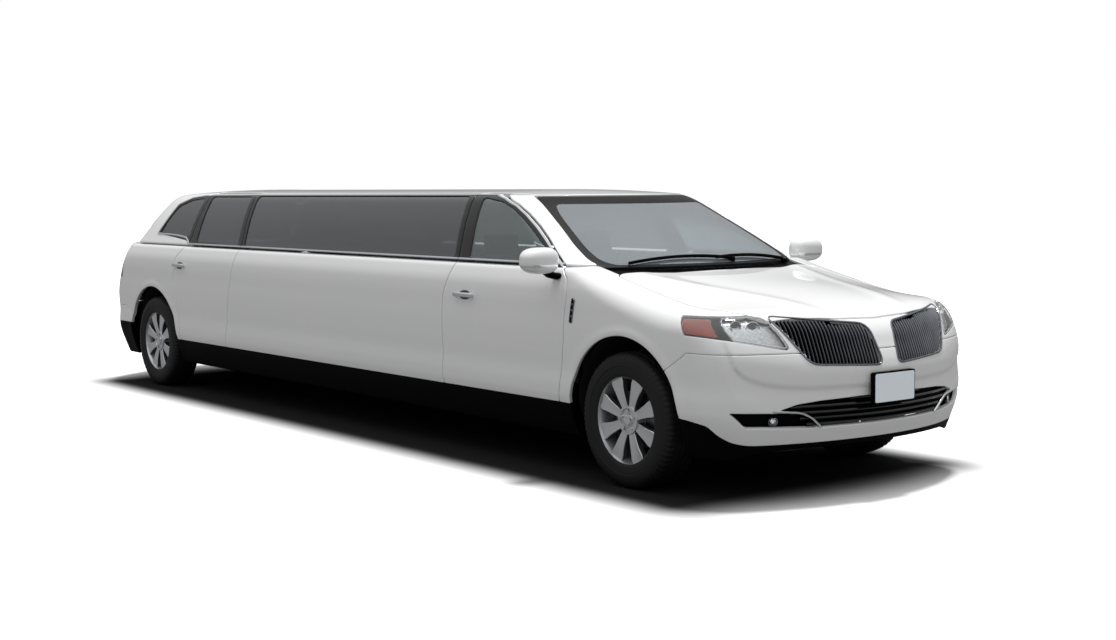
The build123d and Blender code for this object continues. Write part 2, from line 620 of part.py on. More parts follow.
sills = body & block(-FAR, FAR, *wide, SILL_LOW_Z, SKIN_LOW_Z - SEAT_GAP)
low_sides = body & block(-FAR, FAR, *wide, SKIN_LOW_Z, BELT_Z - SEAT_GAP)
stretch_sides = gather(*[s for s in low_sides.solids() if s.center().X > REAR_X + 600])
rear_quarters = gather(*[s for s in low_sides.solids() if s.center().X < REAR_X + 600])
roof_and_pillars = body & block(-FAR, FAR, *wide, BELT_Z, 3000)

bulkhead = inner & block(BULKHEAD_X, BULKHEAD_X + BULKHEAD_THICK, *wide, FLOOR_TOP_Z, 1120)
wells = wheel_wells(inner)
bulkhead -= [wheel_drum(FRONT_X, WELL_RADIUS + WELL_THICK, side * WELL_INNER_FRONT, side * 1200) for side in (-1, 1)]
pan = floor_pan(inner)

grown = stack(LOWER_ROWS, -SEAT_GAP)
plate_z = PLATE_LOW_Z + PLATE_HEIGHT / 2
plate_bolts = [
    Pos(LENGTH / 2, side * PLATE_BOLTS_Y / 2, plate_z + up * PLATE_BOLTS_Z / 2)
    * Rot(0, 90, 0) * Cylinder(PLATE_BOLT_RADIUS, 6 * PLATE_STAND)
    for side in (-1, 1) for up in (-1, 1)
]
front_bumper -= plate_bolts
half_plate = PLATE_WIDTH / 2
front_plate = block(FRONT_X + 990, LENGTH / 2, -half_plate, half_plate, PLATE_LOW_Z, PLATE_LOW_Z + PLATE_HEIGHT)
front_plate = front_plate - [grown, *plate_bolts]
rear_plate = block(REAR_X - 1150, -LENGTH / 2, -half_plate, half_plate, 520, 600) - grown

nodes = {
    "roof_and_pillars": roof_and_pillars,
    "stretch_sides": stretch_sides,
    "rear_quarters": rear_quarters,
    "front_wings": wings,
    "front_bumper": front_bumper,
    "rear_bumper": rear_bumper,
    "sill_cladding": sills,
    "hood": hood,
    "upper_grille": both(upper_grille),
    "lower_grille": lower_grille,
    "fog_lamps": both(fog_lamp),
    "headlamps": both(headlamp),
    "tail_lamps": both(tail_lamp),
    "windscreen": windscreen,
    "side_windows": both(gather(*fixed_panes)),
    "tailgate": tailgate,
    "tailgate_glass": tailgate_glass,
    "number_plates": gather(front_plate, rear_plate),
    "hinge_plates": hinge_plates(),
    "bulkhead": bulkhead,
    "dashboard": dashboard(),
    "steering_wheel": steering_wheel(),
    "front_seats": both(front_seat_right()),
    "lounge_bench": block(REAR_X + 560, FRONT_X - 2400, 330, 790, FLOOR_TOP_Z + SEAT_GAP, 640),
    "bar_cabinet": block(REAR_X + 1500, FRONT_X - 2400, -790, -560, FLOOR_TOP_Z + SEAT_GAP, 900),
    "rear_bench": block(REAR_X - 60, REAR_X + 540, -600, 600, FLOOR_TOP_Z + SEAT_GAP, 680),
    "floor_pan": pan,
    "wheel_wells": wells,
    "engine": block(FRONT_X - 150, FRONT_X + 520, -330, 330, FLOOR_TOP_Z + SEAT_GAP, 830),
    "exhaust": Pos((FRONT_X + REAR_X) / 2, 260, FLOOR_LOW_Z - 35 - SEAT_GAP) * Rot(0, 90, 0) * Cylinder(35, 5100),
    "axle_frames": axle_frames(),
}
mirrored = {
    "door_front_{}": front_leaf,
    "door_front_glass_{}": front_pane,
    "door_rear_{}": rear_leaf,
    "door_rear_glass_{}": rear_pane,
    "mirror_{}": mirror_right(),
    "knuckle_{}": knuckle_right(),
}
for name, shape in mirrored.items():
    nodes[name.format("right")] = shape
    nodes[name.format("left")] = other_side(shape)
for axle, x, track in (("front", FRONT_X, TRACK_FRONT), ("rear", REAR_X, TRACK_REAR)):
    for side, sign in (("right", -1), ("left", 1)):
        nodes[f"tyre_{axle}_{side}"] = tyre_at(x, sign * track / 2)
        nodes[f"rim_{axle}_{side}"] = rim_at(x, sign * track / 2)

for name, shape in nodes.items():
    solids = shape.solids()
    node = solids[0] if len(solids) == 1 else gather(shape)
    node.label = name
    export_step(node, f"parts/{name}.step")
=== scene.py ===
"""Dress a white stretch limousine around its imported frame, in metres, X forward and Z up."""

import logging
import math
from dataclasses import dataclass, field
from enum import Enum
from typing import Callable, Iterable, Optional, Sequence

import bmesh
import bpy
import numpy as np
from mathutils import Matrix, Vector


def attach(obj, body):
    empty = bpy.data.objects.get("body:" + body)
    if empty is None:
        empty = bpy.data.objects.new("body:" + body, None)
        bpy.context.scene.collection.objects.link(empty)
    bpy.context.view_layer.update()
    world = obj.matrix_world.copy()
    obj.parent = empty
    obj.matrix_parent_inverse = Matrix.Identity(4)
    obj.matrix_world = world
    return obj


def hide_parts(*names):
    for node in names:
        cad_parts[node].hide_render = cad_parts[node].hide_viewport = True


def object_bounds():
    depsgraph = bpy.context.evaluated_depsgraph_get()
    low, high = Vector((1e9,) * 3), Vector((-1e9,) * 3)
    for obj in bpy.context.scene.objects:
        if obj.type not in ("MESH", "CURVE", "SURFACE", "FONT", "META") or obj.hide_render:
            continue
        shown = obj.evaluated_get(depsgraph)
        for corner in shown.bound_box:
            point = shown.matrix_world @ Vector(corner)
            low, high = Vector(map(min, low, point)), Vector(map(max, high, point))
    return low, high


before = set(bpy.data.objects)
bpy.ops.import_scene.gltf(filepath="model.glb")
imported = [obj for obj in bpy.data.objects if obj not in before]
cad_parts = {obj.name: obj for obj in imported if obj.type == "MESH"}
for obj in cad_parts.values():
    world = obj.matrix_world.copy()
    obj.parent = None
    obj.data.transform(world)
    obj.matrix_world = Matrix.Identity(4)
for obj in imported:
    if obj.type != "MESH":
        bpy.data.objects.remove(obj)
CAD_BOX = [list(corner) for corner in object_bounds()]
logging.basicConfig(level=logging.INFO, format="%(message)s")
LOG = logging.getLogger("limousine")

FRONT = 3.100
REAR = -2.943
BELT = 1.186
SKIN_LOW = 0.420
SILL_LOW = 0.235
AXLE_Z = 0.370
ARCH_RADIUS = 0.455
SHUT = 0.005
ROLL = 0.004


class View(Enum):
    """The axes that an outline is drawn in."""

    SIDE = (0, 2)
    PLAN = (0, 1)
    FACE = (1, 2)


class Side(Enum):
    """Which side of the car a piece is on, with the sign of its Y."""

    RIGHT = -1
    LEFT = 1

    @property
    def label(self) -> str:
        """Return the side's name in a piece's name."""
        return self.name.lower()


class Smooth:
    """A smooth curve through a table's points that doesn't overshoot them."""

    def __init__(self, pairs: Sequence[tuple[float, float]]) -> None:
        """Work out the slopes.

        Args:
            pairs: the points, in rising order of their first value.
        """
        self.x, self.y = (np.array(c, float) for c in zip(*pairs))
        step, slope = np.diff(self.x), np.diff(self.y) / np.diff(self.x)
        self.m = np.empty_like(self.y)
        self.m[0], self.m[-1] = slope[0], slope[-1]
        same = slope[:-1] * slope[1:] > 0
        w1, w2 = 2 * step[1:] + step[:-1], step[1:] + 2 * step[:-1]
        safe = np.where(same, slope[:-1] * slope[1:], 1)
        blended = (w1 + w2) * safe / np.where(same, w1 * slope[1:] + w2 * slope[:-1], 1)
        self.m[1:-1] = np.where(same, blended, 0)

    def __call__(self, t: np.ndarray) -> np.ndarray:
        """Return the curve's value at t, level beyond its ends."""
        t = np.clip(t, self.x[0], self.x[-1])
        i = np.clip(np.searchsorted(self.x, t, side="right") - 1, 0, len(self.x) - 2)
        h = self.x[i + 1] - self.x[i]
        s = (t - self.x[i]) / h
        return ((1 + 2 * s) * (1 - s) ** 2 * self.y[i] + s * (1 - s) ** 2 * h * self.m[i]
                + s * s * (3 - 2 * s) * self.y[i + 1] + s * s * (s - 1) * h * self.m[i + 1])


def blend_max(a: np.ndarray, b: np.ndarray, k: np.ndarray) -> np.ndarray:
    """Return the larger of two fields, rounded where they meet over a width k."""
    h = np.maximum(k - np.abs(a - b), 0) / k
    return np.maximum(a, b) + h * h * k / 4


def arc_height(x: np.ndarray, a: tuple, b: tuple, c: tuple) -> np.ndarray:
    """Return the height at x of an arched circle through three points."""
    rows = np.array([[2 * (q[0] - a[0]), 2 * (q[1] - a[1])] for q in (b, c)])
    sums = np.array([q[0] ** 2 - a[0] ** 2 + q[1] ** 2 - a[1] ** 2 for q in (b, c)])
    centre = np.linalg.solve(rows, sums)
    radius = math.hypot(a[0] - centre[0], a[1] - centre[1])
    return centre[1] + np.sqrt(np.maximum(radius ** 2 - (x - centre[0]) ** 2, 0))


@dataclass(frozen=True)
class Outline:
    """A closed outline drawn in one view, its corners rounded."""

    points: tuple
    view: View = View.SIDE
    rounding: float = 0.0

    def loop(self) -> np.ndarray:
        """Return the outline's points with its corners rounded."""
        corners = np.array(self.points, float)
        if not self.rounding:
            return corners
        rounded = []
        for i, corner in enumerate(corners):
            before, after = corners[i - 1] - corner, corners[(i + 1) % len(corners)] - corner
            reach = [min(self.rounding, 0.45 * np.linalg.norm(v)) for v in (before, after)]
            a = corner + before / np.linalg.norm(before) * reach[0]
            b = corner + after / np.linalg.norm(after) * reach[1]
            for s in np.linspace(0, 1, 6):
                rounded.append((1 - s) ** 2 * a + 2 * s * (1 - s) * corner + s * s * b)
        return np.array(rounded)

    def depth(self, places: np.ndarray) -> np.ndarray:
        """Return how far inside the outline each place is, negative outside it."""
        p = places[:, list(self.view.value)]
        loop = self.loop()
        best = np.full(len(p), np.inf)
        inside = np.zeros(len(p), bool)
        for a, b in zip(loop, np.roll(loop, -1, axis=0)):
            along = b - a
            s = np.clip(((p - a) @ along) / max(along @ along, 1e-12), 0, 1)
            best = np.minimum(best, np.linalg.norm(p - a - s[:, None] * along, axis=1))
            crosses = (a[1] > p[:, 1]) != (b[1] > p[:, 1])
            rise = along[1] if abs(along[1]) > 1e-12 else 1e-12
            inside ^= crosses & (p[:, 0] < a[0] + (p[:, 1] - a[1]) * along[0] / rise)
        return np.where(inside, best, -best)


def ahead(*points: tuple[float, float]) -> tuple:
    """Place points from the front axle."""
    return tuple((FRONT + a, b) for a, b in points)


def behind(*points: tuple[float, float]) -> tuple:
    """Place points from the rear axle."""
    return tuple((REAR + a, b) for a, b in points)


def across(*points: tuple[float, float]) -> tuple:
    """Complete a face-view outline from its points at negative Y."""
    return tuple(points) + tuple((-a, b) for a, b in reversed(points))


class BodyForm:
    """The car's outer surface as smooth fields, negative inside the car."""

    half = Smooth([(0.20, 0.885), (0.33, 0.925), (0.42, 0.951), (0.47, 0.961), (0.52, 0.963), (0.60, 0.9575),
                   (0.70, 0.963), (0.82, 0.967), (0.95, 0.962), (1.05, 0.950), (1.085, 0.9415), (1.13, 0.925),
                   (1.20, 0.898)])
    nose_start = Smooth([(0.20, 0.540), (0.45, 0.570), (0.70, 0.560), (0.95, 0.440), (1.20, 0.270)])
    nose_tip = Smooth([(0.20, 0.935), (0.33, 0.990), (0.45, 1.026), (0.60, 1.030), (0.665, 1.034),
                       (0.71, 1.026), (0.80, 0.992), (0.95, 0.930), (1.20, 0.780)])
    nose_corner = Smooth([(0.20, 0.24), (0.45, 0.27), (0.70, 0.29), (0.95, 0.33), (1.20, 0.34)])
    tail_start = Smooth([(0.20, -0.60), (0.45, -0.64), (0.70, -0.64), (0.95, -0.56), (1.20, -0.42)])
    tail_tip = Smooth([(0.20, -1.010), (0.45, -1.185), (0.56, -1.205), (0.66, -1.200), (0.70, -1.178),
                       (0.95, -1.120), (1.20, -0.965)])
    tail_corner = Smooth([(0.20, 0.24), (0.45, 0.27), (0.70, 0.28), (0.95, 0.30), (1.20, 0.33)])
    cabin_half = Smooth([(1.17, 0.904), (1.42, 0.785), (1.60, 0.664), (1.74, 0.520)])
    cabin_front = [Smooth([(1.17, -0.690), (1.42, -1.140), (1.60, -1.460), (1.74, -1.760)]),
                   Smooth([(1.17, -0.215), (1.42, -0.690), (1.60, -1.030), (1.74, -1.360)]),
                   Smooth([(1.17, 0.310), (1.42, 0.280), (1.60, 0.240), (1.74, 0.200)])]
    cabin_rear = [Smooth([(1.17, -0.320), (1.42, -0.110), (1.60, 0.060), (1.74, 0.250)]),
                  Smooth([(1.17, -0.935), (1.42, -0.640), (1.60, -0.370), (1.74, -0.120)]),
                  Smooth([(1.17, 0.380), (1.42, 0.300), (1.60, 0.230), (1.74, 0.190)])]
    hood_centre = Smooth([(-0.46, 1.200), (-0.10, 1.130), (0.42, 1.058), (0.70, 1.003), (0.85, 0.955),
                          (0.95, 0.903), (1.12, 0.790)])
    hood_edge = Smooth([(-0.46, 1.172), (-0.10, 1.088), (0.42, 0.990), (0.70, 0.974), (0.85, 0.966),
                        (0.95, 0.930), (1.12, 0.860)])
    shoulder = Smooth([(-0.60, 0.02), (-0.40, 0.06), (0.10, 0.12), (0.70, 0.10), (1.00, 0.05)])
    ridge_y = Smooth([(-0.20, 0.60), (0.90, 0.30)])
    crease = Smooth([(0.700, 0.860), (0.725, 0.830), (0.786, 0.691), (0.818, 0.657), (0.893, 0.620),
                     (0.960, 0.609), (1.050, 0.606)])
    crease_ramp = 0.026
    crease_deep = 0.013
    crease_tall = 0.150
    roof_tail = ((REAR - 1.5, 1.265), (REAR - 0.5, 1.534), (REAR + 0.6, 1.612))
    roof_nose = ((FRONT - 1.75, 1.604), (FRONT - 1.25, 1.590), (FRONT - 0.7, 1.540))
    roof_axis = -7.0
    roof_round = 0.05
    lip_out, lip_high, lip_wide = 0.022, 0.007, 0.026
    ridge_high, ridge_wide = 0.007, 0.06
    hood_half = 0.83

    def roof_line(self, x: np.ndarray) -> np.ndarray:
        """Return the height of the roof's centre line: an arc, a straight run and an arc."""
        (x0, z0), (x1, z1) = self.roof_tail[2], self.roof_nose[0]
        middle = z0 + (z1 - z0) * np.clip((x - x0) / (x1 - x0), 0, 1)
        tail, nose = arc_height(x, *self.roof_tail), arc_height(x, *self.roof_nose)
        return np.where(x < x0, tail, np.where(x > x1, nose, middle))

    def columns(self, z: np.ndarray, cabin: bool) -> tuple:
        """Return the level section's sizes: half width, then start, tip and corner at both ends."""
        if cabin:
            front, rear = self.cabin_front, self.cabin_rear
            half = self.cabin_half(z)
        else:
            front = (self.nose_start, self.nose_tip, self.nose_corner)
            rear = (self.tail_start, self.tail_tip, self.tail_corner)
            half = self.half(z)
        fs, ft, fr = (c(z) for c in front)
        rs, rt, rr = (c(z) for c in rear)
        return half, FRONT + fs, FRONT + ft, fr, REAR + rs, REAR + rt, rr

    @staticmethod
    def end_arc(half: np.ndarray, start: np.ndarray, tip: np.ndarray, corner: np.ndarray) -> tuple:
        """Return an end arc's radius and the angle where the corner takes over."""
        run, rise = np.abs(tip - start), half - corner
        radius = (run * run + rise * rise - corner * corner) / (2 * (run - corner))
        return radius, np.arctan2(rise, radius - run)

    def level_gap(self, places: np.ndarray, cabin: bool) -> np.ndarray:
        """Return the distance outside the level section at each place's height."""
        x, y, z = places.T
        half, fs, ft, fr, rs, rt, rr = self.columns(z, cabin)
        y = np.abs(y)
        gap = y - half
        for start, tip, corner, sign in ((fs, ft, fr, 1), (rs, rt, rr, -1)):
            radius, _ = self.end_arc(half, start, tip, corner)
            centre, rise = tip - sign * radius, half - corner
            above = sign * (start - centre) * y - rise * sign * (x - centre) > 0
            end = np.where(above, np.hypot(x - start, y - rise) - corner, np.hypot(x - centre, y) - radius)
            gap = np.where((x - start) * sign > 0, end, gap)
        return gap

    def hood_height(self, x: np.ndarray, y: np.ndarray) -> np.ndarray:
        """Return the height of the hood's and wings' top."""
        ahead_x = x - FRONT
        centre, edge = self.hood_centre(ahead_x), self.hood_edge(ahead_x)
        share = np.abs(y) / self.hood_half
        ridge = np.exp(-((np.abs(y) - self.ridge_y(ahead_x)) / self.ridge_wide) ** 2) * self.ridge_high
        fade = np.clip((ahead_x + 0.5) / 0.4, 0, 1) * np.clip((1.0 - ahead_x) / 0.3, 0, 1)
        return centre - (centre - edge) * share ** 2 + ridge * fade

    def lower(self, places: np.ndarray) -> np.ndarray:
        """Return the field of the body below the windows."""
        x, y, z = places.T
        top = z - self.hood_height(x, y)
        field_ = blend_max(self.level_gap(places, False), top, self.shoulder(x - FRONT))
        lips = 0
        for axle in (FRONT, REAR):
            ring = np.hypot(x - axle, z - AXLE_Z) - (ARCH_RADIUS + self.lip_out)
            lips = lips + self.lip_high * np.exp(-(ring / self.lip_wide) ** 2) * (np.abs(y) > 0.6)
        under = self.crease(x - FRONT) - z
        ledge = np.clip(under / self.crease_ramp, 0, 1)
        fade = np.clip(1 - under / self.crease_tall, 0, 1) * np.clip((x - FRONT - 0.70) / 0.07, 0, 1)
        return field_ - lips + self.crease_deep * ledge * ledge * (3 - 2 * ledge) * fade

    def cabin(self, places: np.ndarray) -> np.ndarray:
        """Return the field of the roof and the glass house."""
        x, y, z = places.T
        roof = np.sqrt((self.roof_line(x) - self.roof_axis) ** 2 - y * y) + self.roof_axis
        return blend_max(self.level_gap(places, True), z - roof, np.full_like(x, self.roof_round))

    def normals(self, places: np.ndarray, form: Callable) -> np.ndarray:
        """Return a field's outward directions."""
        step = 0.0008
        slope = np.stack([form(places + d) - form(places - d) for d in np.eye(3) * step], axis=1)
        return slope / np.linalg.norm(slope, axis=1, keepdims=True)

    def land(self, start: np.ndarray, way: np.ndarray, form: Callable, reach: float) -> np.ndarray:
        """Return where rays from inside the body cross its surface."""
        low, high = np.zeros(len(start)), np.full(len(start), reach)
        for _ in range(26):
            mid = (low + high) / 2
            inside = form(start + way * mid[:, None]) < 0
            low, high = np.where(inside, mid, low), np.where(inside, high, mid)
        return start + way * ((low + high) / 2)[:, None]

    def level_points(self, stations: np.ndarray, z: float, cabin: bool) -> tuple[np.ndarray, np.ndarray]:
        """Return points and directions round the right half of a level section.

        Args:
            stations: places along it, 0 to 1 the tail, 1 to 2 its corner, 2 to 3 the side,
                3 to 4 the nose's corner and 4 to 5 the nose.
            z: the section's height.
            cabin: whether it is a section of the glass house.
        """
        half, fs, ft, fr, rs, rt, rr = (float(c) for c in self.columns(np.array(z), cabin))
        x, y = np.empty_like(stations), np.full_like(stations, -half)
        angle = np.full_like(stations, math.pi / 2)
        side = (stations >= 2) & (stations <= 3)
        x[side] = rs + (fs - rs) * (stations[side] - 2)
        for start, tip, corner, sign, s in ((fs, ft, fr, 1, 5 - stations), (rs, rt, rr, -1, stations)):
            radius, turn = (float(v) for v in self.end_arc(half, start, tip, corner))
            end, bend = s <= 1, (s > 1) & (s < 2)
            a = turn * s[end]
            x[end], y[end] = tip - sign * radius + sign * radius * np.cos(a), -radius * np.sin(a)
            angle[end] = a if sign > 0 else math.pi - a
            a = turn + (math.pi / 2 - turn) * (s[bend] - 1)
            x[bend] = start + sign * corner * np.cos(a)
            y[bend] = -(half - corner) - corner * np.sin(a)
            angle[bend] = a if sign > 0 else math.pi - a
        points = np.stack([x, y, np.full_like(x, z)], axis=1)
        return points, np.stack([np.cos(angle), -np.sin(angle), np.zeros_like(x)], axis=1)


FORM = BodyForm()


class Sheet:
    """A thin mesh lying on one of the body's fields."""

    def __init__(self, points: np.ndarray, faces: list, form: Callable) -> None:
        """Hold the points, the faces and the field that they lie on."""
        self.points, self.faces, self.form = points, faces, form

    @classmethod
    def grid(cls, rows: np.ndarray, form: Callable) -> "Sheet":
        """Return a sheet from rows of points."""
        count, wide = rows.shape[:2]
        index = np.arange(count * wide).reshape(count, wide)
        quads = np.stack([index[:-1, :-1], index[:-1, 1:], index[1:, 1:], index[1:, :-1]], axis=-1)
        points, faces = rows.reshape(-1, 3), quads.reshape(-1, 4)
        middle = points[faces].mean(axis=1)
        a = points[faces[:, 2]] - points[faces[:, 0]]
        b = points[faces[:, 3]] - points[faces[:, 1]]
        if (np.cross(a, b) * FORM.normals(middle, form)).sum() < 0:
            faces = faces[:, ::-1]
        return cls(points, [tuple(int(i) for i in f) for f in faces], form)

    def keep(self, value: Callable, margin: float = 0.0) -> "Sheet":
        """Return the part where a value is above a margin, cut cleanly along it."""
        level = value(self.points) - margin
        level[np.abs(level) < 2e-4] = 0
        inside = level >= 0
        points, cuts, faces = list(self.points), {}, []

        def cut(a: int, b: int) -> int:
            """Return the point where an edge leaves the part that is kept."""
            for own, other in ((a, b), (b, a)):
                if level[own] == 0:
                    return own
            key = (min(a, b), max(a, b))
            if key not in cuts:
                s = level[a] / (level[a] - level[b])
                cuts[key] = len(points)
                points.append(points[a] + (points[b] - points[a]) * s)
            return cuts[key]

        for face in self.faces:
            ins = [inside[i] for i in face]
            if all(ins):
                faces.append(face)
                continue
            if not any(ins):
                continue
            made = []
            for i, here in enumerate(face):
                there = face[(i + 1) % len(face)]
                if inside[here]:
                    made.append(here)
                if inside[here] != inside[there]:
                    made.append(cut(here, there))
            made = [p for i, p in enumerate(made) if p != made[i - 1]]
            if len(set(made)) >= 3:
                faces.append(tuple(dict.fromkeys(made)))
        return Sheet(np.array(points), faces, self.form).packed()

    def packed(self) -> "Sheet":
        """Return the sheet with the points that its faces don't use left out."""
        used = sorted({i for face in self.faces for i in face})
        place = {old: new for new, old in enumerate(used)}
        points = self.points[used] if used else np.empty((0, 3))
        return Sheet(points, [tuple(place[i] for i in f) for f in self.faces], self.form)

    def border(self, step: float = 0.008) -> tuple[np.ndarray, np.ndarray]:
        """Return the longest edge's points at even steps, smoothed, and the surface's directions there."""
        edges = {(f[i], f[(i + 1) % len(f)]) for f in self.faces for i in range(len(f))}
        after = {a: b for a, b in edges if (b, a) not in edges}
        loops = []
        while after:
            here, loop = min(after), []
            while here in after:
                loop.append(here)
                here = after.pop(here)
            loops.append(loop)
        path = even(self.points[max(loops, key=len)], step, closed=True)
        for _ in range(3):
            path = (np.roll(path, 1, axis=0) + 2 * path + np.roll(path, -1, axis=0)) / 4
        return path, FORM.normals(path, self.form)

    def within(self, outline: Outline, margin: float = 0.0) -> "Sheet":
        """Keep what is inside an outline by at least a margin."""
        return self.keep(outline.depth, margin)

    def outside(self, outline: Outline, margin: float = 0.0) -> "Sheet":
        """Keep what is outside an outline by at least a margin."""
        return self.keep(lambda p: -outline.depth(p), margin)

    def beyond(self, axis: int, at: float, sign: int = 1, margin: float = 0.0) -> "Sheet":
        """Keep what lies past a level on an axis, in a direction."""
        return self.keep(lambda p: (p[:, axis] - at) * sign, margin)

    def both(self) -> "Sheet":
        """Return a right half joined to its mirror image along the centre line."""
        count = len(self.points)
        middle = np.abs(self.points[:, 1]) < 1e-4
        self.points[middle, 1] = 0
        twin = self.points * (1, -1, 1)
        place = [i if middle[i] else i + count for i in range(count)]
        faces = self.faces + [tuple(place[i] for i in reversed(f)) for f in self.faces]
        return Sheet(np.vstack([self.points, twin]), faces, self.form).packed()

    def shell(self, depth: float, roll: float = ROLL, sunk: float = 0.0) -> "Solid":
        """Return the sheet as a closed panel with rolled edges.

        Args:
            depth: the panel's thickness.
            roll: the radius of its outer edge.
            sunk: how far its face lies below the field.
        """
        normal = FORM.normals(self.points, self.form)
        count = len(self.points)
        edges = {(f[i], f[(i + 1) % len(f)]) for f in self.faces for i in range(len(f))}
        rim = [(a, b) for a, b in edges if (b, a) not in edges]
        rim.sort()
        outward = np.zeros((count, 3))
        for a, b in rim:
            way = np.cross(self.points[b] - self.points[a], normal[a])
            way /= max(np.linalg.norm(way), 1e-9)
            outward[a] += way
            outward[b] += way
        size = np.linalg.norm(outward, axis=1, keepdims=True)
        outward = np.where(size > 1e-6, outward / np.maximum(size, 1e-6), 0)
        face = self.points - normal * sunk
        rings, ids = [face], sorted({i for e in rim for i in e})
        order = {i: n for n, i in enumerate(ids)}
        for turn in (30, 60, 90):
            a = math.radians(turn)
            rings.append((face + outward * roll * math.sin(a) - normal * roll * (1 - math.cos(a)))[ids])
        rings.append(face + outward * roll - normal * depth)
        bases = [0, count, count + len(ids), count + 2 * len(ids), count + 3 * len(ids)]
        faces, kinds = list(self.faces), [0] * len(self.faces)
        for step in range(4):
            for a, b in rim:
                low = [i if step == 0 else order[i] for i in (a, b)]
                top = [i if step == 3 else order[i] for i in (a, b)]
                faces.append((bases[step] + low[1], bases[step] + low[0],
                              bases[step + 1] + top[0], bases[step + 1] + top[1]))
                kinds.append(0)
        faces += [tuple(bases[4] + i for i in reversed(f)) for f in self.faces]
        kinds += [1] * len(self.faces)
        return Solid(np.vstack(rings), faces, kinds)


def quads(rows: int, wide: int, round_rows: bool, round_wide: bool) -> list[tuple[int, int, int, int]]:
    """Return the faces between rows of points, joined up round either way where asked."""
    return [(i * wide + j, i * wide + (j + 1) % wide,
             (i + 1) % rows * wide + (j + 1) % wide, (i + 1) % rows * wide + j)
            for i in range(rows if round_rows else rows - 1)
            for j in range(wide if round_wide else wide - 1)]


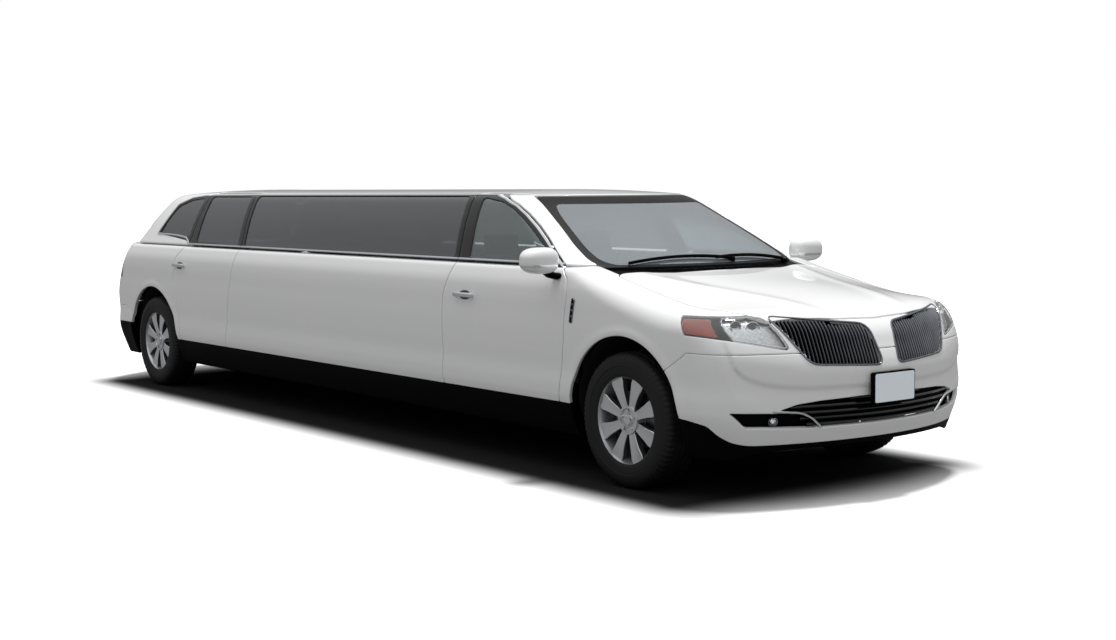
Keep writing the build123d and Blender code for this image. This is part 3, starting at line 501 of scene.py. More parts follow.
class Solid:
    """A mesh in the making: points, faces and each face's material number."""

    def __init__(self, points: Iterable = (), faces: Iterable = (), kinds: Optional[Iterable] = None) -> None:
        """Hold the mesh's points, faces and material numbers."""
        self.points = np.array(list(points), float).reshape(-1, 3)
        self.faces = [tuple(f) for f in faces]
        self.kinds = list(kinds) if kinds is not None else [0] * len(self.faces)

    def __add__(self, other: "Solid") -> "Solid":
        """Return two meshes as one."""
        shift = len(self.points)
        moved = [tuple(i + shift for i in f) for f in other.faces]
        return Solid(np.vstack([self.points, other.points]), self.faces + moved, self.kinds + other.kinds)

    def kind(self, number: int) -> "Solid":
        """Return the mesh with one material number all over."""
        return Solid(self.points, self.faces, [number] * len(self.faces))

    def moved(self, matrix: Matrix) -> "Solid":
        """Return the mesh moved by a matrix."""
        m = np.array(matrix)
        faces = self.faces
        if np.linalg.det(m[:3, :3]) < 0:
            faces = [tuple(reversed(f)) for f in faces]
        return Solid(self.points @ m[:3, :3].T + m[:3, 3], faces, self.kinds)

    def at(self, x: float, y: float, z: float) -> "Solid":
        """Return the mesh moved to a place."""
        return self.moved(Matrix.Translation((x, y, z)))

    def on(self, side: Side) -> "Solid":
        """Return a right-hand mesh on the side that is asked for."""
        return self if side is Side.RIGHT else self.moved(Matrix.Diagonal((1, -1, 1, 1)))

    @staticmethod
    def lathe(profile: Sequence[tuple[float, float]], steps: int) -> "Solid":
        """Turn a closed profile, places along the Y axis with their radius, about that axis."""
        turns = np.arange(steps) * 2 * math.pi / steps
        rings = [[(r * math.cos(a), y, r * math.sin(a)) for a in turns] for y, r in profile]
        return Solid(np.array(rings).reshape(-1, 3), quads(len(profile), steps, True, True))

    @staticmethod
    def prism(loop: Sequence, low: float, high: float, taper: float = 1.0) -> "Solid":
        """Raise a closed XY outline from one height to another, its top scaled by taper."""
        loop = np.array(loop, float)
        centre = loop.mean(axis=0)
        top = centre + (loop - centre) * taper
        count = len(loop)
        points = np.vstack([np.c_[loop, np.full(count, low)], np.c_[top, np.full(count, high)]])
        faces = [(i, (i + 1) % count, (i + 1) % count + count, i + count) for i in range(count)]
        faces += [tuple(range(count, 2 * count)), tuple(range(count - 1, -1, -1))]
        return Solid(points, faces)

    @staticmethod
    def block(size: Sequence[float], centre: Sequence[float]) -> "Solid":
        """Return a block by its size and centre."""
        x, y, z = (s / 2 for s in size)
        loop = [(-x, -y), (x, -y), (x, y), (-x, y)]
        return Solid.prism(loop, -z, z).at(*centre)

    @staticmethod
    def sweep(path: np.ndarray, up: np.ndarray, section: Sequence[tuple[float, float]],
              closed: bool = False) -> "Solid":
        """Run a section along a path.

        Args:
            path: the path's points.
            up: the section's second direction at each point.
            section: places across the path and along up.
            closed: whether the path's end joins its start.
        """
        path, up = np.asarray(path, float), np.asarray(up, float)
        if closed:
            along = np.roll(path, -1, axis=0) - np.roll(path, 1, axis=0)
        else:
            along = np.gradient(path, axis=0)
        along /= np.linalg.norm(along, axis=1, keepdims=True)
        up = up - (up * along).sum(axis=1, keepdims=True) * along
        up /= np.linalg.norm(up, axis=1, keepdims=True)
        wide = np.cross(along, up)
        rings = np.stack([path + wide * a + up * b for a, b in section], axis=1)
        count, turn = rings.shape[:2]
        faces = quads(count, turn, closed, True)
        if not closed:
            faces += [tuple(range(turn - 1, -1, -1)), tuple((count - 1) * turn + j for j in range(turn))]
        return Solid(rings.reshape(-1, 3), faces)

    def make(self, name: str, body: str, finishes: Sequence["Finish"], stands_for: Sequence[str] = (),
             bevel: float = 0.0, angle: float = 38.0) -> bpy.types.Object:
        """Turn the mesh into a piece that rides on a body.

        Args:
            name: the piece's name.
            body: the body that carries it.
            finishes: its finishes, in the order of the faces' numbers.
            stands_for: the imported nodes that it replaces.
            bevel: the width of the bevel on its sharp edges, if any.
            angle: the angle above which an edge is shaded sharp.

        Returns:
            The piece.
        """
        mesh = bpy.data.meshes.new(name)
        mesh.from_pydata(self.points.tolist(), [], self.faces)
        mesh.validate()
        work = bmesh.new()
        work.from_mesh(mesh)
        bmesh.ops.recalc_face_normals(work, faces=work.faces)
        work.to_mesh(mesh)
        work.free()
        for finish in finishes:
            mesh.materials.append(finish.make())
        if len(finishes) > 1 and len(mesh.polygons) == len(self.kinds):
            mesh.polygons.foreach_set("material_index", [min(k, len(finishes) - 1) for k in self.kinds])
        mesh.polygons.foreach_set("use_smooth", [True] * len(mesh.polygons))
        mesh.set_sharp_from_angle(angle=math.radians(angle))
        piece = bpy.data.objects.new(name, mesh)
        bpy.context.scene.collection.objects.link(piece)
        if bevel:
            edge = piece.modifiers.new("edge", "BEVEL")
            edge.width, edge.segments, edge.limit_method = bevel, 2, "ANGLE"
            edge.angle_limit = math.radians(30)
        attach(piece, body)
        if stands_for:
            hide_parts(*stands_for)
        LOG.info("%s: %d faces on %s", name, len(mesh.polygons), body)
        return piece


class Pattern(Enum):
    """How a finish's colour and relief vary over its surface."""

    CLOUD = "cloud"
    CELLS = "cells"
    BRUSHED = "brushed"


def linear(code: str) -> tuple[float, float, float, float]:
    """Turn an sRGB hex colour into linear light."""
    parts = [int(code[i:i + 2], 16) / 255 for i in (1, 3, 5)]
    return tuple(c / 12.92 if c <= 0.04045 else ((c + 0.055) / 1.055) ** 2.4 for c in parts) + (1.0,)


def add_node(tree: bpy.types.NodeTree, kind: str, sockets: Optional[dict] = None,
             links: Optional[dict] = None, **settings: object) -> bpy.types.Node:
    """Add a shader node with its settings and links.

    Args:
        tree: the material's or world's node tree.
        kind: the node's type.
        sockets: constants by socket.
        links: output sockets by the input socket that they feed.
        settings: the node's own settings.

    Returns:
        The node.
    """
    made = tree.nodes.new(kind)
    for key, value in settings.items():
        setattr(made, key, value)
    for key, value in (sockets or {}).items():
        made.inputs[key].default_value = value
    for key, output in (links or {}).items():
        tree.links.new(output, made.inputs[key])
    return made


@dataclass(frozen=True)
class Finish:
    """A material and how its surface was made. Grain and relief are in millimetres."""

    name: str
    colour: str
    second: str
    roughness: float
    spread: float = 0.03
    metallic: float = 0.0
    ior: float = 1.5
    coat: float = 0.0
    transmission: float = 0.0
    specular: float = 0.5
    pattern: Pattern = Pattern.CLOUD
    grain: float = 200.0
    relief: float = 0.0
    glow: float = 0.0

    def height(self, tree: bpy.types.NodeTree, where: bpy.types.NodeSocket) -> bpy.types.NodeSocket:
        """Return the pattern's height, from 0 to 1.

        Args:
            tree: the material's node tree.
            where: the coordinates in metres.
        """
        scale = 1000 / self.grain
        if self.pattern is Pattern.CELLS:
            cells = add_node(tree, "ShaderNodeTexVoronoi", {"Scale": scale}, {"Vector": where})
            return cells.outputs["Distance"]
        if self.pattern is Pattern.BRUSHED:
            stretched = add_node(tree, "ShaderNodeMapping", {"Scale": (0.04, 1.0, 1.0)}, {"Vector": where})
            where = stretched.outputs[0]
        cloud = add_node(tree, "ShaderNodeTexNoise", {"Scale": scale, "Detail": 4.0}, {"Vector": where})
        return cloud.outputs["Fac"]

    def make(self) -> bpy.types.Material:
        """Return the material, made on its first use."""
        known = bpy.data.materials.get(self.name)
        if known:
            return known
        made = bpy.data.materials.new(self.name)
        made.use_nodes = True
        made.diffuse_color = linear(self.colour)
        tree = made.node_tree
        shader = tree.nodes["Principled BSDF"]
        where = add_node(tree, "ShaderNodeTexCoord").outputs["Object"]
        height = self.height(tree, where)
        mixed = add_node(tree, "ShaderNodeMix", {6: linear(self.colour), 7: linear(self.second)}, {0: height},
                         data_type="RGBA")
        span = {"To Min": max(self.roughness - self.spread, 0.0), "To Max": self.roughness + self.spread}
        rough = add_node(tree, "ShaderNodeMapRange", span, {"Value": height})
        tree.links.new(mixed.outputs[2], shader.inputs["Base Color"])
        tree.links.new(rough.outputs[0], shader.inputs["Roughness"])
        for key, value in (("Metallic", self.metallic), ("Coat Weight", self.coat), ("Coat Roughness", 0.02),
                           ("Transmission Weight", self.transmission),
                           ("Specular IOR Level", self.specular)):
            shader.inputs[key].default_value = value
        if not self.metallic:
            shader.inputs["IOR"].default_value = self.ior
        if self.glow:
            shader.inputs["Emission Color"].default_value = linear(self.colour)
            shader.inputs["Emission Strength"].default_value = self.glow
        if self.relief:
            bump = add_node(tree, "ShaderNodeBump", {"Distance": self.relief / 1000, "Strength": 1.0},
                            {"Height": height})
            tree.links.new(bump.outputs[0], shader.inputs["Normal"])
        return made


# Pearl basecoat under clear lacquer, sprayed: soft white with a hard bright reflection.
PEARL = Finish("pearl_lacquer_sprayed", "#E9E9E8", "#E4E5E6", 0.32, 0.04, coat=1.0, grain=900.0)
# Polished piano-black acrylic: deep black that mirrors what is round it.
GLOSS_BLACK = Finish("black_acrylic_polished", "#08090A", "#0D0E10", 0.10, 0.02, specular=0.35, grain=400.0)
# Moulded ABS with a fine pore: near black, with hardly a highlight.
SATIN_BLACK = Finish("black_abs_moulded", "#040405", "#080809", 0.50, 0.06, specular=0.03,
                     pattern=Pattern.CELLS, grain=2.5, relief=0.12)
# Tread and sidewall rubber, vulcanised: almost black, matt, a little grey with dust.
RUBBER = Finish("rubber_vulcanised", "#0D0E10", "#161618", 0.62, 0.08, specular=0.3, grain=25.0, relief=0.15)
# Cast aluminium, machined and clear-lacquered: a pale face with fine turning lines.
ALUMINIUM = Finish("aluminium_machined", "#D6D8DA", "#C2C4C7", 0.30, 0.06, metallic=0.8, coat=0.2, grain=3.0,
                   pattern=Pattern.BRUSHED)
# Cast aluminium, painted between the spokes: mid grey, low sheen. On the door handles it is painted shade in
# the recess behind the bar.
CAST_GREY = Finish("aluminium_cast_painted", "#55585C", "#46494C", 0.45, 0.08, metallic=0.6, grain=8.0,
                   relief=0.1)
# Chromium plate on ABS, polished: a near mirror.
CHROME = Finish("chromium_plated_polished", "#DDE0E3", "#CFD3D7", 0.06, 0.02, metallic=1.0, grain=120.0)
# Aluminium vapour on polycarbonate: a bright bowl with fine flutes.
REFLECTOR = Finish("aluminium_vapour_coated", "#F0F2F4", "#A9AEB3", 0.14, 0.06, metallic=1.0, grain=11.0,
                   relief=3.0)
# Dark chromium plate: smoky mirror for the grille's bars.
DARK_CHROME = Finish("dark_chromium_plated", "#8E9196", "#6F7277", 0.14, 0.04, metallic=1.0, grain=60.0)
# Laminated glass with a solar coat, float: grey-blue and brightly reflecting.
SCREEN_GLASS = Finish("laminated_glass_solar_coated", "#AEBAC2", "#A6B3BB", 0.02, 0.01, ior=2.1,
                      transmission=0.80, grain=900.0)
# Tempered glass, light green-grey tint.
DOOR_GLASS = Finish("tempered_glass_tinted", "#8D9B9B", "#869494", 0.02, 0.01, ior=1.7, transmission=0.85,
                    grain=900.0)
# Tempered privacy glass: dark grey, with a broad sky reflection.
PRIVACY_GLASS = Finish("privacy_glass_tempered", "#55585F", "#4E5158", 0.03, 0.01, ior=1.75,
                       transmission=0.78, grain=900.0)
# Ceramic frit baked on the screen's edge: flat black.
FRIT = Finish("ceramic_frit_baked", "#050506", "#08080A", 0.45, 0.05, specular=0.1, grain=50.0)
# Polycarbonate lamp lens, hard-coated and clear.
CLEAR_LENS = Finish("polycarbonate_clear_coated", "#FFFFFF", "#FAFCFC", 0.02, 0.01, ior=1.58,
                    transmission=1.0, grain=300.0)
# Amber-red polycarbonate: the lamp's outer reflector.
AMBER_LENS = Finish("polycarbonate_amber_moulded", "#B5452A", "#8E2F1E", 0.15, 0.05, ior=1.58, coat=0.5,
                    grain=9.0, pattern=Pattern.CELLS, relief=0.3)
# Red polycarbonate with prisms behind it: tail lamps.
RED_LENS = Finish("polycarbonate_red_moulded", "#6E070B", "#4A0407", 0.14, 0.03, specular=0.3, coat=0.3,
                  grain=8.0, pattern=Pattern.CELLS, relief=0.2)
# Steel sheet, painted and stone-chipped: underbody parts.
UNDERBODY = Finish("steel_underbody_coated", "#1B1C1E", "#242527", 0.6, 0.1, grain=30.0, relief=0.4)
# Bare steel, turned: brake discs and pipes.
STEEL = Finish("steel_turned", "#8A8B8D", "#76787A", 0.35, 0.08, metallic=1.0, grain=4.0,
               pattern=Pattern.BRUSHED)
# Retro-reflective sheet on a blank plate: pale grey, with a faint glow painted in as light that the sheet
# sends back.
PLATE = Finish("plate_sheet_reflective", "#D3DADF", "#CCD3D9", 0.35, 0.04, grain=40.0, glow=0.22)
# Black leather, grained and dyed: seats and trim.
LEATHER = Finish("leather_grained", "#1E1D1E", "#2A292A", 0.48, 0.08, pattern=Pattern.CELLS, grain=4.0,
                 relief=0.35)
# Soft grey vinyl on the doors' inner side.
TRIM = Finish("vinyl_moulded", "#2B2C2F", "#333437", 0.55, 0.06, pattern=Pattern.CELLS, grain=3.0, relief=0.2)

DOOR_FRONT_SEAM = ((-0.556, 0.30), (-0.556, SKIN_LOW), (-0.500, 0.760), (-0.482, 1.030), (-0.500, 1.105))
FRONT_DOOR = Outline(ahead(*DOOR_FRONT_SEAM, (-0.575, 1.172), (-0.713, 1.250), (-0.843, 1.328),
                           (-0.966, 1.395), (-1.108, 1.463), (-1.244, 1.518), (-1.400, 1.562),
                           (-1.520, 1.585),
                           (-1.748, 1.588), (-1.625, 1.190), (-1.665, 1.090), (-1.712, 0.960),
                           (-1.722, SKIN_LOW), (-1.722, 0.30)))
REAR_DOOR = Outline(behind((1.322, 0.30), (1.322, SKIN_LOW), (1.335, 0.520), (1.470, 1.110), (1.500, 1.190),
                           (1.350, 1.588), (0.572, 1.588), (0.590, 1.215), (0.430, 1.075), (0.392, 0.900),
                           (0.470, 0.700), (0.515, SKIN_LOW), (0.515, 0.30)), rounding=0.03)
FRONT_GLASS = Outline(ahead((-0.672, 1.192), (-0.729, 1.224), (-0.859, 1.300), (-0.982, 1.367),
                            (-1.122, 1.434), (-1.256, 1.489), (-1.408, 1.532), (-1.632, 1.558),
                            (-1.512, 1.190)), rounding=0.015)
REAR_GLASS = Outline(behind((1.430, 1.195), (1.300, 1.560), (0.628, 1.560), (0.700, 1.205)), rounding=0.025)
LONG_GLASS = Outline(ahead((-1.675, 1.190), (-1.800, 1.565)) + behind((1.410, 1.565), (1.540, 1.190)),
                     rounding=0.03)
QUARTER_GLASS = Outline(behind((0.530, 1.240), (0.500, 1.550), (0.270, 1.530), (0.091, 1.478),
                               (-0.045, 1.268)), rounding=0.03)
BAND_FRONT = ((-0.590, 1.168), (-0.718, 1.243), (-0.848, 1.318), (-0.971, 1.385), (-1.113, 1.453),
              (-1.248, 1.508), (-1.405, 1.549), (-1.530, 1.572))
GLASS_BAND = Outline(ahead((-0.560, 1.150), *BAND_FRONT, (-1.800, 1.576))
                     + behind((1.400, 1.576), (0.500, 1.572), (0.270, 1.552), (0.080, 1.500), (-0.085, 1.262),
                              (0.50, 1.215), (0.62, 1.186)) + ahead((-1.5, 1.186)), rounding=0.02)
SCREEN = Outline(across((-0.728, 1.150), (-0.766, 1.205), (-0.742, 1.285), (-0.690, 1.393), (-0.654, 1.472),
                        (-0.620, 1.545), (-0.600, 1.566)), View.FACE, 0.02)
SCREEN_CLEAR = Outline(across((-0.668, 1.182), (-0.714, 1.210), (-0.704, 1.275), (-0.656, 1.385),
                              (-0.622, 1.455), (-0.575, 1.522)), View.FACE, 0.03)
HATCH = Outline(across((-0.690, 0.640), (-0.700, 1.180), (-0.560, 1.720)), View.FACE, 0.03)
HATCH_SIDE = Outline(behind((-0.335, 1.720), (-0.335, 1.560), (-0.090, 1.330), (-0.090, 0.600),
                            (-1.400, 0.600), (-1.400, 1.720)))
HATCH_GLASS = Outline(across((-0.610, 1.225), (-0.515, 1.505)), View.FACE, 0.06)
HEADLAMP = Outline(((-0.990, 0.958), (-0.990, 0.868), (-0.594, 0.788), (-0.668, 0.962)), View.FACE, 0.03)
GRILLE = Outline(((-0.662, 0.962), (-0.506, 0.717), (-0.053, 0.693), (-0.092, 0.903)), View.FACE, 0.05)
INTAKE = Outline(across((-0.436, 0.394), (-0.520, 0.408), (-0.590, 0.462), (-0.669, 0.490), (-0.574, 0.518),
                        (-0.449, 0.531), (-0.200, 0.541)), View.FACE, 0.012)
TAIL_LAMP = Outline(((-1.000, 1.065), (-1.000, 0.885), (-0.700, 0.860), (-0.700, 1.065)), View.FACE, 0.03)
FOG_RECESS = Outline(((-0.894, 0.483), (-0.820, 0.404), (-0.462, 0.392), (-0.515, 0.450), (-0.555, 0.470),
                      (-0.659, 0.476)), View.FACE, 0.012)
FOG_BLADE = ((-0.700, 0.486), (-0.649, 0.483), (-0.580, 0.478), (-0.545, 0.470), (-0.499, 0.445),
             (-0.440, 0.396))
FOG_LAMP_AT = (-0.690, 0.434)
MIRROR_SAIL = Outline(ahead((-0.585, 1.164), (-0.722, 1.240), (-0.738, 1.230), (-0.725, 1.185)),
                      rounding=0.008)
WING_VENT = Outline(ahead((-0.440, 0.872), (-0.418, 0.870), (-0.400, 1.000), (-0.424, 1.007)), rounding=0.008)
BUMPER = Outline(ahead((0.300, 0.15), (0.300, 0.640), (0.520, 0.775), (1.300, 0.775), (1.300, 0.15)))
REAR_BUMPER = Outline(behind((-0.380, 0.15), (-0.380, 0.520), (-0.560, 0.640), (-1.400, 0.640),
                             (-1.400, 0.15)))
HOOD_HALF = ((-0.185, -0.400), (-0.290, -0.700), (-0.262, -0.765), (0.400, -0.800), (0.640, -0.775),
             (0.795, -0.668), (0.885, -0.300))
HOOD = Outline(ahead((-0.165, 0.0), *HOOD_HALF, (0.905, 0.0), *[(x, -y) for x, y in reversed(HOOD_HALF)]),
               View.PLAN, 0.04)
HALF_SHUT = SHUT / 2 + ROLL
HALF_SEAM = 0.0008 + ROLL


def arch_value(places: np.ndarray) -> np.ndarray:
    """Return how far outside both wheel arches each place is."""
    return np.minimum(*[np.hypot(places[:, 0] - axle, places[:, 2] - AXLE_Z) - ARCH_RADIUS
                        for axle in (FRONT, REAR)])


def lamp_value(places: np.ndarray) -> np.ndarray:
    """Return how far inside the right headlamp each place is."""
    rear = places[:, 0] - (FRONT + 0.436) - (0.951 - places[:, 2]) * 0.71
    return np.minimum(HEADLAMP.depth(places), rear)


def grille_value(places: np.ndarray) -> np.ndarray:
    """Return how far inside the upper grille's right wing each place is."""
    return np.minimum(GRILLE.depth(places), places[:, 0] - FRONT - 0.55)


def wrap(stations: np.ndarray, form: Callable, heights: np.ndarray, turns: int, inset: float,
         reach: tuple[float, float]) -> Sheet:
    """Return the right half of a surface, level row by row and then turned up about the last row's height.

    Args:
        stations: places round the half body, from nose to tail.
        form: the field that it lies on.
        heights: the level rows' heights.
        turns: how many rows the quarter turn takes, the last level one counted.
        inset: how far inside the drawn outline the rays start.
        reach: how far the level and the turned rays go.
    """
    rows = []
    for z in heights:
        points, way = FORM.level_points(stations, z, form == FORM.cabin)
        rows.append(FORM.land(points - way * inset, way, form, reach[0]))
    for turn in np.radians(np.linspace(0, 90, turns)[1:]):
        tilted = way * math.cos(turn) + np.array((0, 0, math.sin(turn)))
        rows.append(FORM.land(points - way * inset, tilted, form, reach[1]))
    rows = np.array(rows)
    rows[:, [0, -1], 1] = 0
    return Sheet.grid(rows, form)


def lower_grid() -> Sheet:
    """Return the right half of the body's surface below the windows."""
    side_x = np.concatenate([np.linspace(0, 0.28, 68), np.linspace(0.28, 0.72, 84)[1:],
                             np.linspace(0.72, 1, 84)[1:]])
    stations = np.concatenate([np.linspace(0, 1, 40), np.linspace(1, 2, 26)[1:], 2 + side_x[1:],
                               np.linspace(3, 4, 30)[1:], np.linspace(4, 5, 46)[1:]])
    return wrap(stations, FORM.lower, np.linspace(SILL_LOW, 0.86, 60), 44, 0.22, (0.5, 0.8))


def cabin_grid() -> Sheet:
    """Return the right half of the glass house up to the roof's edge."""
    stations = np.concatenate([np.linspace(0, 1, 34), np.linspace(1, 2, 30)[1:], np.linspace(2, 3, 200)[1:],
                               np.linspace(3, 4, 30)[1:], np.linspace(4, 5, 34)[1:]])
    return wrap(stations, FORM.cabin, np.linspace(1.150, 1.54, 24), 22, 0.14, (0.4, 0.6))


def top_grid(form: Callable, x0: float, x1: float, wide: float, low: float, step: float) -> Sheet:
    """Return the right half of a surface that is seen from above.

    Args:
        form: the field that it lies on.
        x0: its rear end.
        x1: its front end.
        wide: its half width.
        low: the height that the rays start from.
        step: the spacing of its points.
    """
    xs = np.linspace(x0, x1, int((x1 - x0) / step) + 1)
    ys = np.linspace(-wide, 0, int(wide / step) + 1)
    start = np.array([[(x, y, low) for x in xs] for y in ys]).reshape(-1, 3)
    hit = FORM.land(start, np.tile((0.0, 0.0, 1.0), (len(start), 1)), form, 1.2)
    return Sheet.grid(hit.reshape(len(ys), len(xs), 3), form)


@dataclass
class Bodywork:
    """The painted panels, each cut from the smooth surface along its real seams."""

    skin: float = 0.022
    wall: float = 0.078
    frame_wall: float = 0.030
    ditch_y: float = 0.560
    screen_rear: float = FRONT - 1.33
    lower: Sheet = field(default_factory=lower_grid)
    cabin: Sheet = field(default_factory=cabin_grid)

    def hood(self) -> None:
        """Build the hood."""
        sheet = top_grid(FORM.lower, FRONT - 0.30, FRONT + 0.96, 0.84, 0.80, 0.014)
        sheet = sheet.within(HOOD, HALF_SHUT)
        sheet.both().shell(self.skin).make("hood_panel", "hood_leaf", [PEARL, UNDERBODY], ["hood"])

    def wings(self, side: Side) -> None:
        """Build a front wing."""
        sheet = self.lower.beyond(0, FRONT - 0.60).beyond(2, SKIN_LOW)
        sheet = sheet.outside(FRONT_DOOR, HALF_SHUT).outside(BUMPER, HALF_SEAM).outside(HOOD, HALF_SHUT)
        sheet = sheet.keep(arch_value, ROLL)
        sheet = sheet.keep(lambda p: -lamp_value(p), ROLL).keep(lambda p: -grille_value(p), ROLL)
        sheet = sheet.keep(lambda p: np.maximum(p[:, 0] - FRONT + 0.215, -0.72 - p[:, 1]))
        self.panel(sheet, side, f"front_wing_{side.label}", "body", "front_wings")

    def panel(self, sheet: Sheet, side: Side, name: str, body: str, node: str, depth: float = 0.022,
              finish: Finish = PEARL, inner: Finish = UNDERBODY) -> None:
        """Finish one side panel.

        Args:
            sheet: its right-hand surface.
            side: the side that it is on.
            name: the piece's name.
            body: the body that carries it.
            node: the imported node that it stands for.
            depth: its thickness.
            finish: its outer finish.
            inner: its inner finish.
        """
        sheet.shell(depth).on(side).make(name, body, [finish, inner], [node])

    def sides(self, side: Side) -> None:
        """Build a side's fixed panels and the lower skins of its doors."""
        label = side.label
        low = self.lower.beyond(2, SKIN_LOW).beyond(2, BELT, -1).keep(arch_value, ROLL)
        middle = low.beyond(0, REAR + 0.9).beyond(0, FRONT - 0.9, -1)
        middle = middle.outside(FRONT_DOOR, HALF_SHUT).outside(REAR_DOOR, HALF_SHUT)
        self.panel(middle, side, f"stretch_panel_{label}", "body", "stretch_sides", self.wall, inner=TRIM)
        self.panel(low.within(FRONT_DOOR, HALF_SHUT), side, f"front_door_skin_{label}", f"front_door_{label}",
                   f"door_front_{label}", self.wall, inner=TRIM)
        self.panel(low.within(REAR_DOOR, HALF_SHUT), side, f"rear_door_skin_{label}", f"rear_door_{label}",
                   f"door_rear_{label}", self.wall, inner=TRIM)
        quarter = low.beyond(0, REAR + 0.8, -1).outside(REAR_DOOR, HALF_SHUT).outside(REAR_BUMPER, HALF_SEAM)
        quarter = quarter.keep(lambda p: np.maximum(-HATCH.depth(p), p[:, 0] - (REAR - 0.4)), HALF_SHUT)
        quarter = quarter.keep(lambda p: np.maximum(-TAIL_LAMP.depth(p), p[:, 0] - (REAR - 0.612)), ROLL)
        self.panel(quarter, side, f"rear_quarter_{label}", "body", "rear_quarters", 0.03)

    lip = Smooth([(0.40, 0.440), (0.55, 0.424), (0.634, 0.412), (0.695, 0.358), (0.745, 0.325), (0.80, 0.311),
                  (1.04, 0.320)])
    lip_low = Smooth([(0.40, 0.235), (0.70, 0.238), (0.82, 0.278), (1.04, 0.298)])

    def bumpers(self) -> None:
        """Build both bumpers with the black valances below them."""
        front = self.lower.within(BUMPER, HALF_SEAM).keep(arch_value, ROLL)
        front = front.keep(lambda p: -lamp_value(p), ROLL).keep(lambda p: -grille_value(p), ROLL)
        front = front.keep(lambda p: np.maximum(-INTAKE.depth(p), FRONT + 0.7 - p[:, 0]), ROLL)
        front = front.keep(lambda p: np.maximum(-FOG_RECESS.depth(p), FRONT + 0.6 - p[:, 0]), ROLL)
        white = front.keep(lambda p: p[:, 2] - self.lip(p[:, 0] - FRONT), 0.001)
        black = front.keep(lambda p: self.lip(p[:, 0] - FRONT) - p[:, 2], 0.001)
        black = black.keep(lambda p: p[:, 2] - self.lip_low(p[:, 0] - FRONT))
        white.both().shell(0.025).make("front_bumper_cover", "body", [PEARL, UNDERBODY],
                                       ["front_bumper"])
        black.both().shell(0.030).make("front_valance", "body", [SATIN_BLACK], ["front_bumper"])
        rear = self.lower.within(REAR_BUMPER, HALF_SEAM).keep(arch_value, ROLL)
        rear.beyond(2, 0.505).both().shell(0.025).make("rear_bumper_cover", "body",
                                                       [PEARL, UNDERBODY], ["rear_bumper"])
        rear.beyond(2, 0.505, -1, 0.002).both().shell(0.030).make("rear_valance", "body", [SATIN_BLACK],
                                                                  ["rear_bumper"])

    def sills(self, side: Side) -> None:
        """Build the black cladding along the bottom of a side."""
        sheet = self.lower.beyond(2, SKIN_LOW - 0.002, -1).beyond(0, REAR + 0.40).beyond(0, FRONT - 0.40, -1)
        self.panel(sheet.keep(arch_value, ROLL), side, f"rocker_cladding_{side.label}", "body",
                   "sill_cladding", self.wall, SATIN_BLACK)

    def glass_house(self, side: Side) -> None:
        """Build the white frame round the windows and the black panels between them."""
        label = side.label
        ring = self.cabin.beyond(2, BELT).beyond(1, -self.ditch_y, -1, HALF_SHUT)
        ring = ring.keep(lambda p: np.maximum(-SCREEN.depth(p), self.screen_rear - p[:, 0]), ROLL)
        ring = ring.keep(lambda p: np.maximum(-HATCH.depth(p), p[:, 0] - (REAR - 0.10)), HALF_SHUT)
        fixed = ring.outside(FRONT_DOOR, HALF_SHUT).outside(REAR_DOOR, HALF_SHUT)
        white = fixed.outside(GLASS_BAND)
        self.panel(white, side, f"pillars_and_rail_{label}", "body", "roof_and_pillars", self.frame_wall)
        black = fixed.within(GLASS_BAND).outside(LONG_GLASS, ROLL).outside(QUARTER_GLASS, ROLL)
        self.panel(black, side, f"black_pillars_{label}", "body", "roof_and_pillars", self.frame_wall,
                   GLOSS_BLACK, GLOSS_BLACK)
        for door, glass, place in ((FRONT_DOOR, FRONT_GLASS, "front"), (REAR_DOOR, REAR_GLASS, "rear")):
            leaf = ring.within(door, HALF_SHUT).outside(glass, ROLL)
            node, body = f"door_{place}_{label}", f"{place}_door_{label}"
            self.panel(leaf.outside(GLASS_BAND), side, f"{place}_door_rail_{label}", body, node,
                       self.frame_wall)
            self.panel(leaf.within(GLASS_BAND), side, f"{place}_door_frame_{label}", body, node,
                       self.frame_wall, GLOSS_BLACK, GLOSS_BLACK)

    def roof(self) -> None:
        """Build the roof skin between the two ditches."""
        sheet = top_grid(FORM.cabin, REAR - 0.60, FRONT - 0.80, self.ditch_y + 0.02, 1.25, 0.028)
        sheet = sheet.beyond(1, -self.ditch_y, 1, HALF_SHUT).beyond(2, 1.50)
        sheet = sheet.keep(lambda p: np.maximum(-SCREEN.depth(p), self.screen_rear - p[:, 0]), ROLL)
        sheet = sheet.keep(lambda p: np.maximum(-HATCH_SIDE.depth(p), -HATCH.depth(p)), HALF_SHUT)
        sheet.both().shell(0.030).make("roof_panel", "body", [PEARL, TRIM], ["roof_and_pillars"])

    def tailgate(self) -> None:
        """Build the tailgate, below and round its window."""
        low = self.lower.beyond(0, REAR - 0.5, -1).within(HATCH, HALF_SHUT).beyond(2, BELT, -1)
        low.both().shell(0.060).make("tailgate_lower", "tailgate_leaf", [PEARL, TRIM], ["tailgate"])
        high = self.cabin.beyond(0, REAR - 0.09, -1).within(HATCH, HALF_SHUT).within(HATCH_SIDE, HALF_SHUT)
        high = high.beyond(2, BELT).outside(HATCH_GLASS, ROLL)
        high.both().shell(0.040).make("tailgate_upper", "tailgate_leaf", [PEARL, TRIM], ["tailgate"])

    def build(self) -> None:
        """Build every painted panel."""
        self.hood()
        self.bumpers()
        self.roof()
        self.tailgate()
        for side in Side:
            self.wings(side)
            self.sides(side)
            self.sills(side)
            self.glass_house(side)


